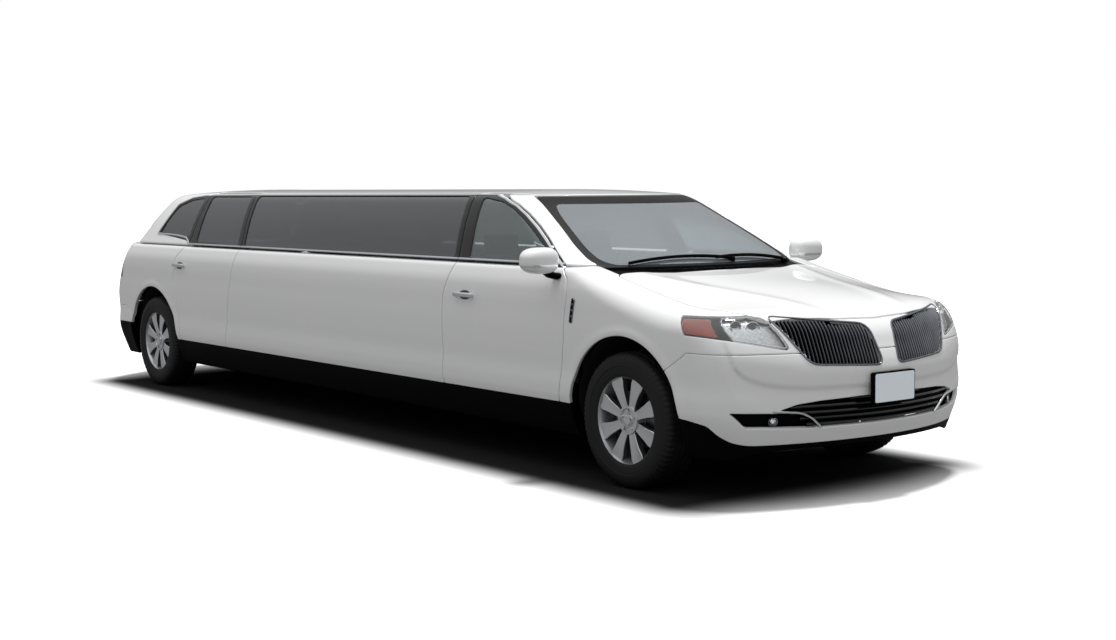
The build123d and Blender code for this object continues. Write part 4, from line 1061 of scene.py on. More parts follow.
@dataclass
class Glazing:
    """The panes, each a curved sheet set into the glass house."""

    cabin: Sheet
    thick: float = 0.005
    sunk: float = 0.005
    edge: float = 0.001

    def pane(self, sheet: Sheet, name: str, body: str, finish: Finish, node: str,
             side: Optional[Side] = None) -> None:
        """Build one pane.

        Args:
            sheet: its surface, right-hand or whole.
            name: the piece's name.
            body: the body that carries it.
            finish: its glass.
            node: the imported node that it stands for.
            side: its side, or None for a pane across the car.
        """
        solid = sheet.shell(self.thick + self.sunk, 0.0005, self.sunk)
        if side:
            solid = solid.on(side)
        solid.make(name, body, [finish], [node])

    def build(self) -> None:
        """Build every pane."""
        screen = self.cabin.beyond(0, FRONT - 1.33).within(SCREEN, self.edge).both()
        self.pane(screen, "windscreen_glass", "body", SCREEN_GLASS, "windscreen")
        frit = self.cabin.beyond(0, FRONT - 1.33).within(SCREEN, self.edge + 0.001).outside(SCREEN_CLEAR)
        frit.both().shell(0.0012, 0.0002, self.sunk - 0.0016).make("windscreen_frit", "body", [FRIT],
                                                                  ["windscreen"])
        hatch = self.cabin.beyond(0, REAR - 0.09, -1).within(HATCH_GLASS, self.edge).both()
        self.pane(hatch, "tailgate_window", "tailgate_leaf", PRIVACY_GLASS, "tailgate_glass")
        for side in Side:
            label = side.label
            flank = self.cabin.beyond(1, -0.4, -1)
            for outline, place, body, finish, node in (
                    (FRONT_GLASS, "front_door_window", f"front_door_{label}", DOOR_GLASS,
                     f"door_front_glass_{label}"),
                    (REAR_GLASS, "rear_door_window", f"rear_door_{label}", PRIVACY_GLASS,
                     f"door_rear_glass_{label}"),
                    (LONG_GLASS, "long_window", "body", PRIVACY_GLASS, "side_windows"),
                    (QUARTER_GLASS, "quarter_window", "body", PRIVACY_GLASS, "side_windows")):
                self.pane(flank.within(outline, self.edge), f"{place}_{label}", body, finish, node, side)


@dataclass(frozen=True)
class Aim:
    """Rays that lay a flat drawing on the body: its view, where they start, and their direction."""

    view: View
    start: float
    way: tuple[float, float, float]


AT_NOSE = Aim(View.FACE, FRONT + 0.30, (1.0, 0.0, 0.0))
AT_TAIL = Aim(View.FACE, REAR - 0.30, (-1.0, 0.0, 0.0))
AT_FLANK = Aim(View.SIDE, -0.30, (0.0, -1.0, 0.0))


def trace(loop: Sequence, aim: Aim, form: Callable = FORM.lower) -> tuple[np.ndarray, np.ndarray]:
    """Lay a flat outline on the body.

    Args:
        loop: the outline's points in the view's two axes.
        aim: the rays that lay it there.
        form: the field that it is laid on.

    Returns:
        The points and the surface's directions there.
    """
    loop = np.array(loop, float)
    first, second = aim.view.value
    third = ({0, 1, 2} - {first, second}).pop()
    places = np.empty((len(loop), 3))
    places[:, first], places[:, second], places[:, third] = loop[:, 0], loop[:, 1], aim.start
    hit = FORM.land(places, np.tile(aim.way, (len(loop), 1)), form, 1.6)
    return hit, FORM.normals(hit, form)


def even(points: Sequence, step: float, closed: bool = False) -> np.ndarray:
    """Return points at even steps along a polyline."""
    points = np.array(list(points) + ([points[0]] if closed else []), float)
    run = np.concatenate([[0], np.cumsum(np.linalg.norm(np.diff(points, axis=0), axis=1))])
    count = max(int(run[-1] / step), 2)
    at = np.linspace(0, run[-1], count + 1)[:count if closed else count + 1]
    return np.stack([np.interp(at, run, points[:, i]) for i in range(points.shape[1])], axis=1)


def strip(wide: float, high: float) -> list[tuple[float, float]]:
    """Return a rounded strip's section: across it, and out from the surface."""
    return [(-wide / 2, -0.002), (-wide / 2, high * 0.4), (-wide * 0.3, high * 0.9), (0, high),
            (wide * 0.3, high * 0.9), (wide / 2, high * 0.4), (wide / 2, -0.002)]


def oval(wide: float, high: float, steps: int, lift: float = 0.0) -> list[tuple[float, float]]:
    """Return an oval section by its half width and half height, lifted off the surface."""
    turns = np.linspace(0, 2 * math.pi, steps + 1)[:-1]
    return [(wide * math.cos(a), high * math.sin(a) + lift) for a in turns]


def aimed(solid: Solid, way: Sequence[float], at: Sequence[float]) -> Solid:
    """Return a turned shape with its Y axis along a direction, moved to a place."""
    turn = Vector((0, 1, 0)).rotation_difference(Vector(way)).to_matrix().to_4x4()
    return solid.moved(Matrix.Translation(Vector(at)) @ turn)


def disc_profile(radius: float, thick: float, edge: float) -> list[tuple[float, float]]:
    """Return the profile of a disc with a rounded outer edge, standing on its back."""
    return [(0, 0.0005), (0, radius), (thick - edge, radius), (thick - edge * 0.3, radius - edge * 0.3),
            (thick, radius - edge), (thick, 0.0005)]


def plaque(loop: np.ndarray, form: Callable, thick: float) -> Solid:
    """Return a plate over an outline on the body's right side.

    Args:
        loop: the outline in the side view.
        form: the field that it lies on.
        thick: how far it stands out.
    """
    path, up = trace(loop, AT_FLANK, form)
    count = len(path)
    faces = [tuple(range(count)), tuple(range(2 * count - 1, count - 1, -1))]
    faces += [(i, i + count, (i + 1) % count + count, (i + 1) % count) for i in range(count)]
    return Solid(np.vstack([path + up * thick, path - up * 0.010]), faces)


@dataclass
class Nose:
    """Headlamps, grilles, fog lamps and the plate."""

    lower: Sheet
    bar_pitch: float = 0.0210
    bar_wide: float = 0.0085
    slat_pitch: float = 0.031
    plate: tuple[float, float, float, float] = (0.305, 0.152, 0.500, 0.006)

    @staticmethod
    def clear_part(places: np.ndarray) -> np.ndarray:
        """Return how far past the marker's edge each place in the headlamp is."""
        return (places[:, 0] - FRONT - 0.632 - (0.951 - places[:, 2]) * 0.92) * 0.74

    def headlamp(self, side: Side) -> None:
        """Build a headlamp: lens, black bezel, outer marker, bright bowl with its rim, and projectors."""
        label = side.label
        wide = self.lower.beyond(0, FRONT + 0.36).keep(lamp_value, -0.035)
        lamp = wide.keep(lamp_value, 0.002)
        lamp.shell(0.003, 0.001).on(side).make(f"headlamp_lens_{label}", "body", [CLEAR_LENS], ["headlamps"])
        bezel = wide.keep(lambda p: 0.012 - self.clear_part(p)).shell(0.050, 0.0005, 0.012)
        bezel.on(side).make(f"headlamp_bezel_{label}", "body", [GLOSS_BLACK], ["headlamps"])
        marker = lamp.keep(lambda p: np.minimum(-0.020 - self.clear_part(p), lamp_value(p) - 0.010))
        marker.shell(0.008, 0.0008, 0.006).on(side).make(f"headlamp_marker_{label}", "body", [AMBER_LENS],
                                                        ["headlamps"])
        bowl = wide.keep(lambda p: self.clear_part(p) + 0.02).shell(0.010, 0.0005, 0.032)
        bowl.on(side).make(f"headlamp_bowl_{label}", "body", [REFLECTOR], ["headlamps"])
        path, up = lamp.keep(lambda p: np.minimum(self.clear_part(p) - 0.014, lamp_value(p) - 0.007)).border()
        rim = Solid.sweep(path, up, oval(0.003, 0.003, 8, -0.0005), closed=True)
        rim.on(side).make(f"headlamp_rim_{label}", "body", [CHROME], ["headlamps"])
        way = Vector((1.0, -0.50, 0.0)).normalized()
        parts = Solid()
        for y, z, radius in ((-0.815, 0.912, 0.026), (-0.742, 0.896, 0.036)):
            hit, _ = trace([(y, z)], AT_NOSE)
            place = Vector(hit[0]) - way * (radius + 0.020)
            ring = [(-0.010, radius * 0.6), (0.004, radius * 0.72), (0.018, radius * 0.93), (0.022, radius),
                    (0.019, radius + 0.003), (0.000, radius), (-0.010, radius * 0.8)]
            parts += aimed(Solid.lathe(ring, 48), way, place)
            ball = [(radius * 0.55 * math.cos(a), max(radius * 0.74 * math.sin(a), 0.0004))
                    for a in np.linspace(0, math.pi / 2, 9)] + [(-0.008, radius * 0.70), (-0.008, 0.0004)]
            parts += aimed(Solid.lathe(ball, 40), way, place).kind(1)
        parts.on(side).make(f"headlamp_projectors_{label}", "body", [CHROME, GLOSS_BLACK],
                            ["headlamps"])

    def grille(self, side: Side) -> None:
        """Build one wing of the upper grille: upright bars, a bright frame and the dark behind."""
        label = side.label
        bars, y = Solid(), -0.650
        while y < -0.060:
            zs = np.linspace(0.68, 0.98, 61)
            line = np.c_[np.full_like(zs, y), zs]
            inside = GRILLE.depth(np.c_[np.zeros_like(zs), line]) > 0.004
            if inside.sum() > 3:
                path, up = trace(line[inside][::3], AT_NOSE)
                half = self.bar_wide / 2
                section = [(-half, -0.026), (-half * 0.8, -0.004), (0, 0.0), (half * 0.8, -0.004),
                           (half, -0.026)]
                if len(path) > 2:
                    bars += Solid.sweep(path, up, section)
            y += self.bar_pitch
        bars.on(side).make(f"grille_bars_{label}", "body", [DARK_CHROME], ["upper_grille"], angle=60)
        back = self.lower.beyond(0, FRONT + 0.55).within(GRILLE, 0.001).shell(0.040, 0.0005, 0.034)
        back.on(side).make(f"grille_back_{label}", "body", [SATIN_BLACK], ["upper_grille"])
        loop = even(GRILLE.loop(), 0.010, closed=True)
        path, up = trace(loop, AT_NOSE)
        frame_ring = Solid.sweep(path, up, [(a, b - 0.001) for a, b in strip(0.011, 0.005)], closed=True)
        frame_ring.on(side).make(f"grille_frame_{label}", "body", [DARK_CHROME], ["upper_grille"])

    def intake(self) -> None:
        """Build the lower grille with level slats."""
        slats = Solid()
        z = 0.412
        while z < 0.540:
            ys = np.linspace(-0.72, 0.72, 145)
            line = np.c_[ys, np.full_like(ys, z)]
            inside = INTAKE.depth(np.c_[np.zeros_like(ys), line]) > 0.002
            if inside.sum() > 3:
                path, up = trace(line[inside][::3], AT_NOSE)
                section = [(-0.004, -0.030), (-0.006, -0.008), (0, -0.004), (0.006, -0.008), (0.004, -0.030)]
                slats += Solid.sweep(path, up, section)
            z += self.slat_pitch
        slats.make("lower_grille_slats", "body", [GLOSS_BLACK], ["lower_grille"])
        back = self.lower.beyond(0, FRONT + 0.55).within(INTAKE, 0.001).both().shell(0.052, 0.0005, 0.045)
        back.make("lower_grille_back", "body", [SATIN_BLACK], ["lower_grille"])

    def fog(self, side: Side) -> None:
        """Build a fog lamp in its black recess, with the bright blade over it."""
        label = side.label
        pocket = self.lower.beyond(0, FRONT + 0.55).within(FOG_RECESS, 0.001)
        pocket.shell(0.045, 0.0005, 0.036).on(side).make(f"fog_pocket_{label}", "body", [SATIN_BLACK],
                                                        ["fog_lamps"])
        hit, _ = trace([FOG_LAMP_AT], AT_NOSE)
        way = Vector((1.0, -0.5, 0.0)).normalized()
        place = Vector(hit[0])
        bowl = Solid.lathe([(0, 0.0004), (0, 0.024), (0.016, 0.026), (0.019, 0.024), (0.014, 0.020),
                            (0.006, 0.010), (0.006, 0.0004)], 40)
        lens = Solid.lathe(disc_profile(0.020, 0.004, 0.002), 40).kind(1)
        lamp = aimed(bowl, way, place - way * 0.036) + aimed(lens, way, place - way * 0.024)
        lamp.on(side).make(f"fog_lamp_{label}", "body", [DARK_CHROME, CLEAR_LENS], ["fog_lamps"])
        line = even(FOG_BLADE, 0.010)
        path, up = trace(line, AT_NOSE)
        blade = Solid.sweep(path, up, strip(0.013, 0.007))
        blade.on(side).make(f"fog_blade_{label}", "body", [CHROME])

    def number_plate(self) -> None:
        """Build the blank plate in its black holder."""
        wide, high, low, thick = self.plate
        face = CAD_BOX[1][0]
        middle = low + high / 2
        corner = 0.012

        def rounded(w: float, h: float) -> np.ndarray:
            """Return a rounded rectangle."""
            return Outline(((-w / 2, -h / 2), (w / 2, -h / 2), (w / 2, h / 2), (-w / 2, h / 2)),
                           View.PLAN, corner).loop()

        to_face = Matrix(((0, 0, 1, 0), (1, 0, 0, 0), (0, 1, 0, middle), (0, 0, 0, 1)))
        back = face - thick * 0.5
        holder = Solid.prism(rounded(wide + 0.012, high + 0.012), face - 0.028, back).moved(to_face)
        plate = Solid.prism(rounded(wide - 0.004, high - 0.004), back + 0.0002, face - 0.0006).moved(to_face)
        holder.make("plate_holder", "body", [SATIN_BLACK], ["number_plates"], bevel=0.002)
        plate.make("plate_blank", "body", [PLATE], ["number_plates"], bevel=0.0004)

    def build(self) -> None:
        """Build everything on the nose."""
        self.intake()
        self.number_plate()
        for side in Side:
            self.headlamp(side)
            self.grille(side)
            self.fog(side)


@dataclass
class Tail:
    """Tail lamps and the rear plate."""

    lower: Sheet

    def build(self) -> None:
        """Build both tail lamps, the bright bar between them and the rear plate."""
        zone = self.lower.beyond(0, REAR - 0.612, -1).within(TAIL_LAMP, 0.002)
        for side in Side:
            zone.shell(0.030, 0.003).on(side).make(f"tail_lamp_{side.label}", "body", [RED_LENS],
                                                   ["tail_lamps"])
        path, up = trace([(y, 1.075) for y in np.linspace(-0.66, 0.66, 90)], AT_TAIL)
        Solid.sweep(path, up, strip(0.030, 0.006)).make("tailgate_bar", "tailgate_leaf", [CHROME])
        plate = Solid.block((0.0012, 0.300, 0.148), (0, 0, 0))
        hit, up = trace([(0.0, 0.82)], AT_TAIL)
        turn = Vector((-1, 0, 0)).rotation_difference(Vector(up[0])).to_matrix().to_4x4()
        place = Matrix.Translation(Vector(hit[0]) + Vector(up[0]) * 0.006) @ turn
        (Solid.block((0.008, 0.312, 0.160), (0.004, 0, 0)).kind(1) + plate).moved(place).make(
            "rear_plate", "tailgate_leaf", [PLATE, SATIN_BLACK], bevel=0.001)


@dataclass
class Wheel:
    """A wheel: tyre, rim with wide flat spokes, hub, nuts and brake disc."""

    radius: float = 0.3699
    rim: float = 0.241
    half: float = 0.1170
    rim_half: float = 0.1050
    steps: int = 288
    notches: int = 72
    spokes: int = 8

    def tyre(self) -> Solid:
        """Return the tyre, its tread grooved."""
        groove = ((-0.055, 0.007), (-0.018, 0.008), (0.018, 0.008), (0.055, 0.007))
        tread = [(-0.094, self.radius - 0.006)]
        for y, deep in groove:
            crown = self.radius - 0.0016 * (abs(y) / 0.055) ** 2
            tread += [(y - 0.0055, crown), (y - 0.004, crown - deep), (y + 0.004, crown - deep),
                      (y + 0.0055, crown)]
        tread += [(0.094, self.radius - 0.006)]
        wall = [(0.1085, self.radius - 0.022), (0.1145, self.radius - 0.042), (self.half, self.rim + 0.060),
                (self.half - 0.0005, self.rim + 0.052), (self.half - 0.003, self.rim + 0.050),
                (self.half - 0.002, self.rim + 0.032), (self.half - 0.004, self.rim + 0.028),
                (self.half - 0.003, self.rim + 0.018), (self.half - 0.009, self.rim + 0.004),
                (self.rim_half - 0.002, self.rim - 0.006)]
        profile = [(-y, r) for y, r in reversed(wall)] + tread + wall
        tyre = Solid.lathe(profile, self.steps)
        y = tyre.points[:, 1]
        radius = np.hypot(tyre.points[:, 0], tyre.points[:, 2])
        turn = np.arctan2(tyre.points[:, 2], tyre.points[:, 0]) * self.notches / (2 * math.pi)
        shoulder = (np.abs(y) > 0.056) & (radius > self.radius - 0.03)
        low = (np.mod(turn + np.sign(y) * 0.25, 1) < 0.26) & shoulder
        scale = np.where(low, (radius - 0.005) / radius, 1)
        tyre.points[:, 0] *= scale
        tyre.points[:, 2] *= scale
        return tyre

    def spoke(self) -> Solid:
        """Return one spoke lying along X, its polished face upward and hollowed along the middle."""
        reach = np.linspace(0, 1, 15)
        wide = Smooth([(0.0, 0.021), (0.30, 0.027), (0.65, 0.036), (0.90, 0.046), (1.0, 0.043)])(reach)
        x = 0.052 + 0.178 * reach
        high = 0.005 * np.sin(reach * math.pi) - 0.012 * (1 - reach)
        rows = []
        for share, drop in ((-1.0, -0.034), (-1.0, -0.003), (-0.93, 0.0), (-0.45, -0.0022), (0.0, -0.0032),
                            (0.45, -0.0022), (0.93, 0.0), (1.0, -0.003), (1.0, -0.034)):
            rows.append(np.c_[x, wide * share, high + drop])
        rows = np.array(rows)
        count, steps = rows.shape[:2]
        kinds = [0 if 1 <= i <= 6 else 1 for i in range(count) for _ in range(steps - 1)]
        ends = range(0, count * steps, steps)
        faces = quads(count, steps, True, False)
        faces += [tuple(ends), tuple(i + steps - 1 for i in reversed(ends))]
        return Solid(rows.reshape(-1, 3), faces, kinds + [1, 1])

    def face(self) -> Solid:
        """Return the wheel's face: rim, spokes, hub, nuts and cap."""
        y0 = -self.rim_half
        rim = self.rim
        lip = [(y0, rim - 0.001), (y0 + 0.003, rim - 0.007), (y0 + 0.012, rim - 0.010),
               (y0 + 0.030, rim - 0.020), (y0 + 0.150, rim - 0.030), (-y0 - 0.004, rim - 0.012),
               (-y0, rim - 0.004), (-y0, rim - 0.0005), (y0 + 0.002, rim - 0.0005)]
        whole = Solid.lathe(lip, 144)
        stand = Matrix.Translation((0, y0 + 0.012, 0)) @ Matrix.Rotation(math.radians(90), 4, "X")
        for i in range(self.spokes):
            turn = Matrix.Rotation(2 * math.pi * (i + 0.5) / self.spokes, 4, "Z")
            whole += self.spoke().moved(stand @ turn)
        hub = [(y0 + 0.016, 0.0005), (y0 + 0.016, 0.034), (y0 + 0.024, 0.038), (y0 + 0.025, 0.060),
               (y0 + 0.015, 0.064), (y0 + 0.016, 0.076), (y0 + 0.026, 0.080), (y0 + 0.070, 0.074),
               (y0 + 0.070, 0.0005)]
        whole += Solid.lathe(hub, 96)
        cap = [(y0 + 0.006, 0.0005), (y0 + 0.0065, 0.020), (y0 + 0.009, 0.028), (y0 + 0.018, 0.030),
               (y0 + 0.018, 0.0005)]
        whole += Solid.lathe(cap, 64).kind(2)
        nut = Solid.lathe([(0, 0.0004), (0, 0.0088), (0.016, 0.0095), (0.016, 0.0004)], 6)
        for i in range(5):
            a = 2 * math.pi * i / 5 + 0.3
            whole += nut.at(0.052 * math.cos(a), y0 + 0.011, 0.052 * math.sin(a)).kind(2)
        return whole

    def disc(self) -> Solid:
        """Return the brake disc and its hat."""
        return Solid.lathe([(-0.030, 0.160), (-0.002, 0.160), (-0.002, 0.085), (0.010, 0.080), (0.010, 0.045),
                            (-0.040, 0.045), (-0.040, 0.080), (-0.030, 0.085)], 96)

    def build(self) -> None:
        """Build all four wheels."""
        tyre, face, disc = self.tyre(), self.face(), self.disc()
        for axle, x, track in (("front", FRONT, 1.661), ("rear", REAR, 1.656)):
            for side in Side:
                label = side.label
                place = (x, -track / 2, AXLE_Z)
                body = f"{axle}_wheel_{label}"
                tyre.at(*place).on(side).make(f"tyre_tread_{axle}_{label}", body, [RUBBER],
                                              [f"tyre_{axle}_{label}"])
                face.at(*place).on(side).make(
                    f"alloy_wheel_{axle}_{label}", body, [ALUMINIUM, CAST_GREY, CHROME],
                    [f"rim_{axle}_{label}"], bevel=0.0012, angle=30)
                disc.at(*place).on(side).make(f"brake_disc_{axle}_{label}", body, [STEEL],
                                              [f"rim_{axle}_{label}"])


@dataclass
class Trim:
    """Bright strips, handles, mirrors, wipers and the cowl."""

    handle_long: float = 0.190
    strip_wide: float = 0.014

    def strips(self, side: Side) -> None:
        """Build the bright strips below and above the side windows."""
        label, belt = side.label, BELT + 0.002
        front, rear = f"front_door_{label}", f"rear_door_{label}"
        lines = (
            ("belt_strip_front", front, [(FRONT - 0.60, belt), (FRONT - 1.622, belt)]),
            ("belt_strip_middle", "body", [(FRONT - 1.628, belt), (REAR + 1.500, belt)]),
            ("belt_strip_rear", rear, [(REAR + 1.494, belt), (REAR + 0.60, belt)]),
            ("belt_strip_kick", "body", behind((0.575, 1.192), (0.540, 1.215), (0.480, 1.238),
                                               (0.30, 1.252), (-0.075, 1.262))),
            ("belt_strip_quarter", "body", behind((-0.075, 1.262), (0.080, 1.500), (0.270, 1.552),
                                                  (0.500, 1.570))),
            ("rail_strip_front", front, ahead((-0.560, 1.152), *BAND_FRONT, (-1.735, 1.574))),
            ("rail_strip_middle", "body", ahead((-1.745, 1.573)) + behind((1.365, 1.573))),
            ("rail_strip_rear", rear, behind((1.345, 1.573), (0.580, 1.571))))
        for name, body, points in lines:
            path, up = trace(even(points, 0.025), AT_FLANK, FORM.cabin)
            piece = Solid.sweep(path, up, strip(self.strip_wide, 0.006)).on(side)
            piece.make(f"{name}_{label}", body, [CHROME])

    def handle(self, side: Side, place: str, x: float, z: float) -> None:
        """Build a door handle: a bowed bright bar on two feet, over a grey plate that is painted shade in its
        recess.
        """
        xs = np.linspace(-self.handle_long / 2, self.handle_long / 2, 25)
        path, up = trace(np.c_[x + xs, np.full_like(xs, z)], AT_FLANK)
        bow = 0.020 + 0.012 * np.sqrt(np.clip(1 - (xs / (self.handle_long / 2)) ** 2, 0, 1))
        path = path + up * bow[:, None]
        bar = Solid.sweep(path, up, oval(0.014, 0.006, 16))
        # The cup is a grey plate just proud of the skin behind the bar: painted shade for the handle's
        # recess.
        cup = np.array(oval(0.062, 0.028, 32)) + (x, z)
        bar += plaque(cup, FORM.lower, 0.0008).kind(1)
        for end in (2, 22):
            foot = Solid.lathe(disc_profile(0.010, bow[end] + 0.004, 0.001), 24)
            bar += aimed(foot, up[end], path[end] - up[end] * (bow[end] + 0.003))
        bar.on(side).make(f"{place}_handle_{side.label}", f"{place}_door_{side.label}", [CHROME, CAST_GREY])

    def mirror(self, side: Side) -> None:
        """Build a door mirror: white cap, bright lower edge, grey foot and the glass."""
        label = side.label
        centre, size = np.array((FRONT - 0.590, -1.060, 1.212)), np.array((0.082, 0.1130, 0.074))
        lats, lons = np.linspace(-math.pi / 2, math.pi / 2, 33), np.linspace(0, 2 * math.pi, 65)[:-1]

        def power(value: np.ndarray, share: float) -> np.ndarray:
            """Return a signed power, for a rounded box."""
            return np.sign(value) * np.abs(value) ** share

        rows = []
        for lat in lats:
            x = power(np.cos(lons), 0.75) * power(np.cos(lat), 0.6)
            y = power(np.sin(lons), 0.75) * power(np.cos(lat), 0.6)
            z = np.full_like(x, power(np.sin(lat), 0.75))
            rows.append(np.c_[x, y, z])
        ball = np.array(rows)
        ball[..., 0] = np.maximum(ball[..., 0], -0.62)
        ball[..., 2] *= 1 - 0.16 * (ball[..., 1] < 0) * ball[..., 1] ** 2
        points = ball.reshape(-1, 3) * size + centre
        shell = Solid(points, quads(*ball.shape[:2], False, True))
        low = centre[2] - 0.030
        shell.kinds = [1 if abs(points[list(f), 2].mean() - low) < 0.007 else 0 for f in shell.faces]
        glass = Solid.block((0.003, 0.170, 0.105), centre + (-0.037, 0, 0.004)).kind(2)
        (shell + glass).on(side).make(
            f"mirror_head_{label}", f"front_door_{label}", [PEARL, CHROME, CHROME], [f"mirror_{label}"])
        path = np.array([(FRONT - 0.590, -0.905, 1.118), (FRONT - 0.592, -0.945, 1.122),
                         (FRONT - 0.596, -0.985, 1.132), (FRONT - 0.600, -1.020, 1.158)])
        up = np.tile((0.0, 0.25, 1.0), (4, 1))
        Solid.sweep(path, up, oval(0.036, 0.020, 24)).on(side).make(
            f"mirror_foot_{label}", f"front_door_{label}", [SATIN_BLACK], [f"mirror_{label}"])
        plaque(MIRROR_SAIL.loop(), FORM.cabin, 0.004).on(side).make(
            f"mirror_sail_{label}", f"front_door_{label}", [GLOSS_BLACK])

    def vent(self, side: Side) -> None:
        """Build the plain upright vent on the front wing."""
        loop = even(WING_VENT.loop(), 0.006, closed=True)
        path, up = trace(loop, AT_FLANK)
        ring = Solid.sweep(path, up, strip(0.006, 0.005), closed=True)
        ring += plaque(loop, FORM.lower, 0.001).kind(1)
        for share in (0.25, 0.5, 0.75):
            z = 0.872 + 0.135 * share
            path, up = trace(even([(FRONT - 0.430, z), (FRONT - 0.410, z)], 0.005), AT_FLANK)
            ring += Solid.sweep(path, up, strip(0.012, 0.005))
        ring.on(side).make(f"wing_vent_{side.label}", "body", [DARK_CHROME, SATIN_BLACK])

    def cowl(self) -> None:
        """Build the black cowl ahead of the screen, and the wipers on it."""
        sheet = top_grid(FORM.lower, FRONT - 0.62, FRONT - 0.10, 0.80, 0.80, 0.02)
        sheet = sheet.outside(HOOD, 0.001).beyond(1, -0.735).keep(
            lambda p: p[:, 0] - (FRONT - 0.40) + 0.25 * (p[:, 1] / 0.72) ** 2)
        sheet.both().shell(0.020, 0.002, 0.012).make("cowl_panel", "body", [SATIN_BLACK], ["front_wings"])
        for name, root, tip in (("right", (-0.262, 0.10), (-0.365, -0.60)),
                                ("left", (-0.345, 0.62), (-0.270, -0.02))):
            line = even([root, tip], 0.02)
            places = np.c_[FRONT + line[:, 0], line[:, 1], np.full(len(line), 1.0)]
            hit = FORM.land(places, np.tile((0.0, 0.0, 1.0), (len(line), 1)),
                            lambda p: np.minimum(FORM.lower(p), FORM.cabin(p)), 0.8)
            normal = FORM.normals(hit, FORM.cabin)
            blade = Solid.sweep(hit + normal * 0.010, normal, [(-0.004, -0.009), (-0.008, 0.004), (0, 0.010),
                                                               (0.008, 0.004), (0.004, -0.009)])
            knob = aimed(Solid.lathe(disc_profile(0.020, 0.026, 0.005), 24), (0, 0, 1),
                         Vector(hit[0]) - Vector((0, 0, 0.010)))
            (blade + knob).make(f"wiper_{name}", "body", [SATIN_BLACK])

    def build(self) -> None:
        """Build all the trim."""
        self.cowl()
        for side in Side:
            self.strips(side)
            self.handle(side, "front", FRONT - 1.470, 0.975)
            self.handle(side, "rear", REAR + 0.530, 1.015)
            self.mirror(side)
            self.vent(side)


@dataclass(frozen=True)
class Pad:
    """A stuffed cushion by its size, centre and lean about Y."""

    size: tuple[float, float, float]
    centre: tuple[float, float, float]
    lean: float = 0.0

    def mesh(self, voxel: float) -> Solid:
        """Return the cushion as an even mesh of small faces.

        Args:
            voxel: the size of the faces.
        """
        corner = min(self.size) * 0.28
        x, y, z = (s / 2 for s in self.size)
        loop = Outline(((-x, -y), (x, -y), (x, y), (-x, y)), View.PLAN, corner).loop()
        raw = bpy.data.meshes.new("pad")
        block = Solid.prism(loop, -z, z)
        raw.from_pydata(block.points.tolist(), [], block.faces)
        holder = bpy.data.objects.new("pad", raw)
        bpy.context.scene.collection.objects.link(holder)
        remesh = holder.modifiers.new("even", "REMESH")
        remesh.mode, remesh.voxel_size = "VOXEL", voxel
        done = holder.evaluated_get(bpy.context.evaluated_depsgraph_get()).to_mesh()
        points = np.array([v.co[:] for v in done.vertices])
        faces = [tuple(p.vertices) for p in done.polygons]
        bpy.data.objects.remove(holder)
        turn = Matrix.Rotation(math.radians(self.lean), 4, "Y")
        return Solid(points, faces).moved(Matrix.Translation(self.centre) @ turn)


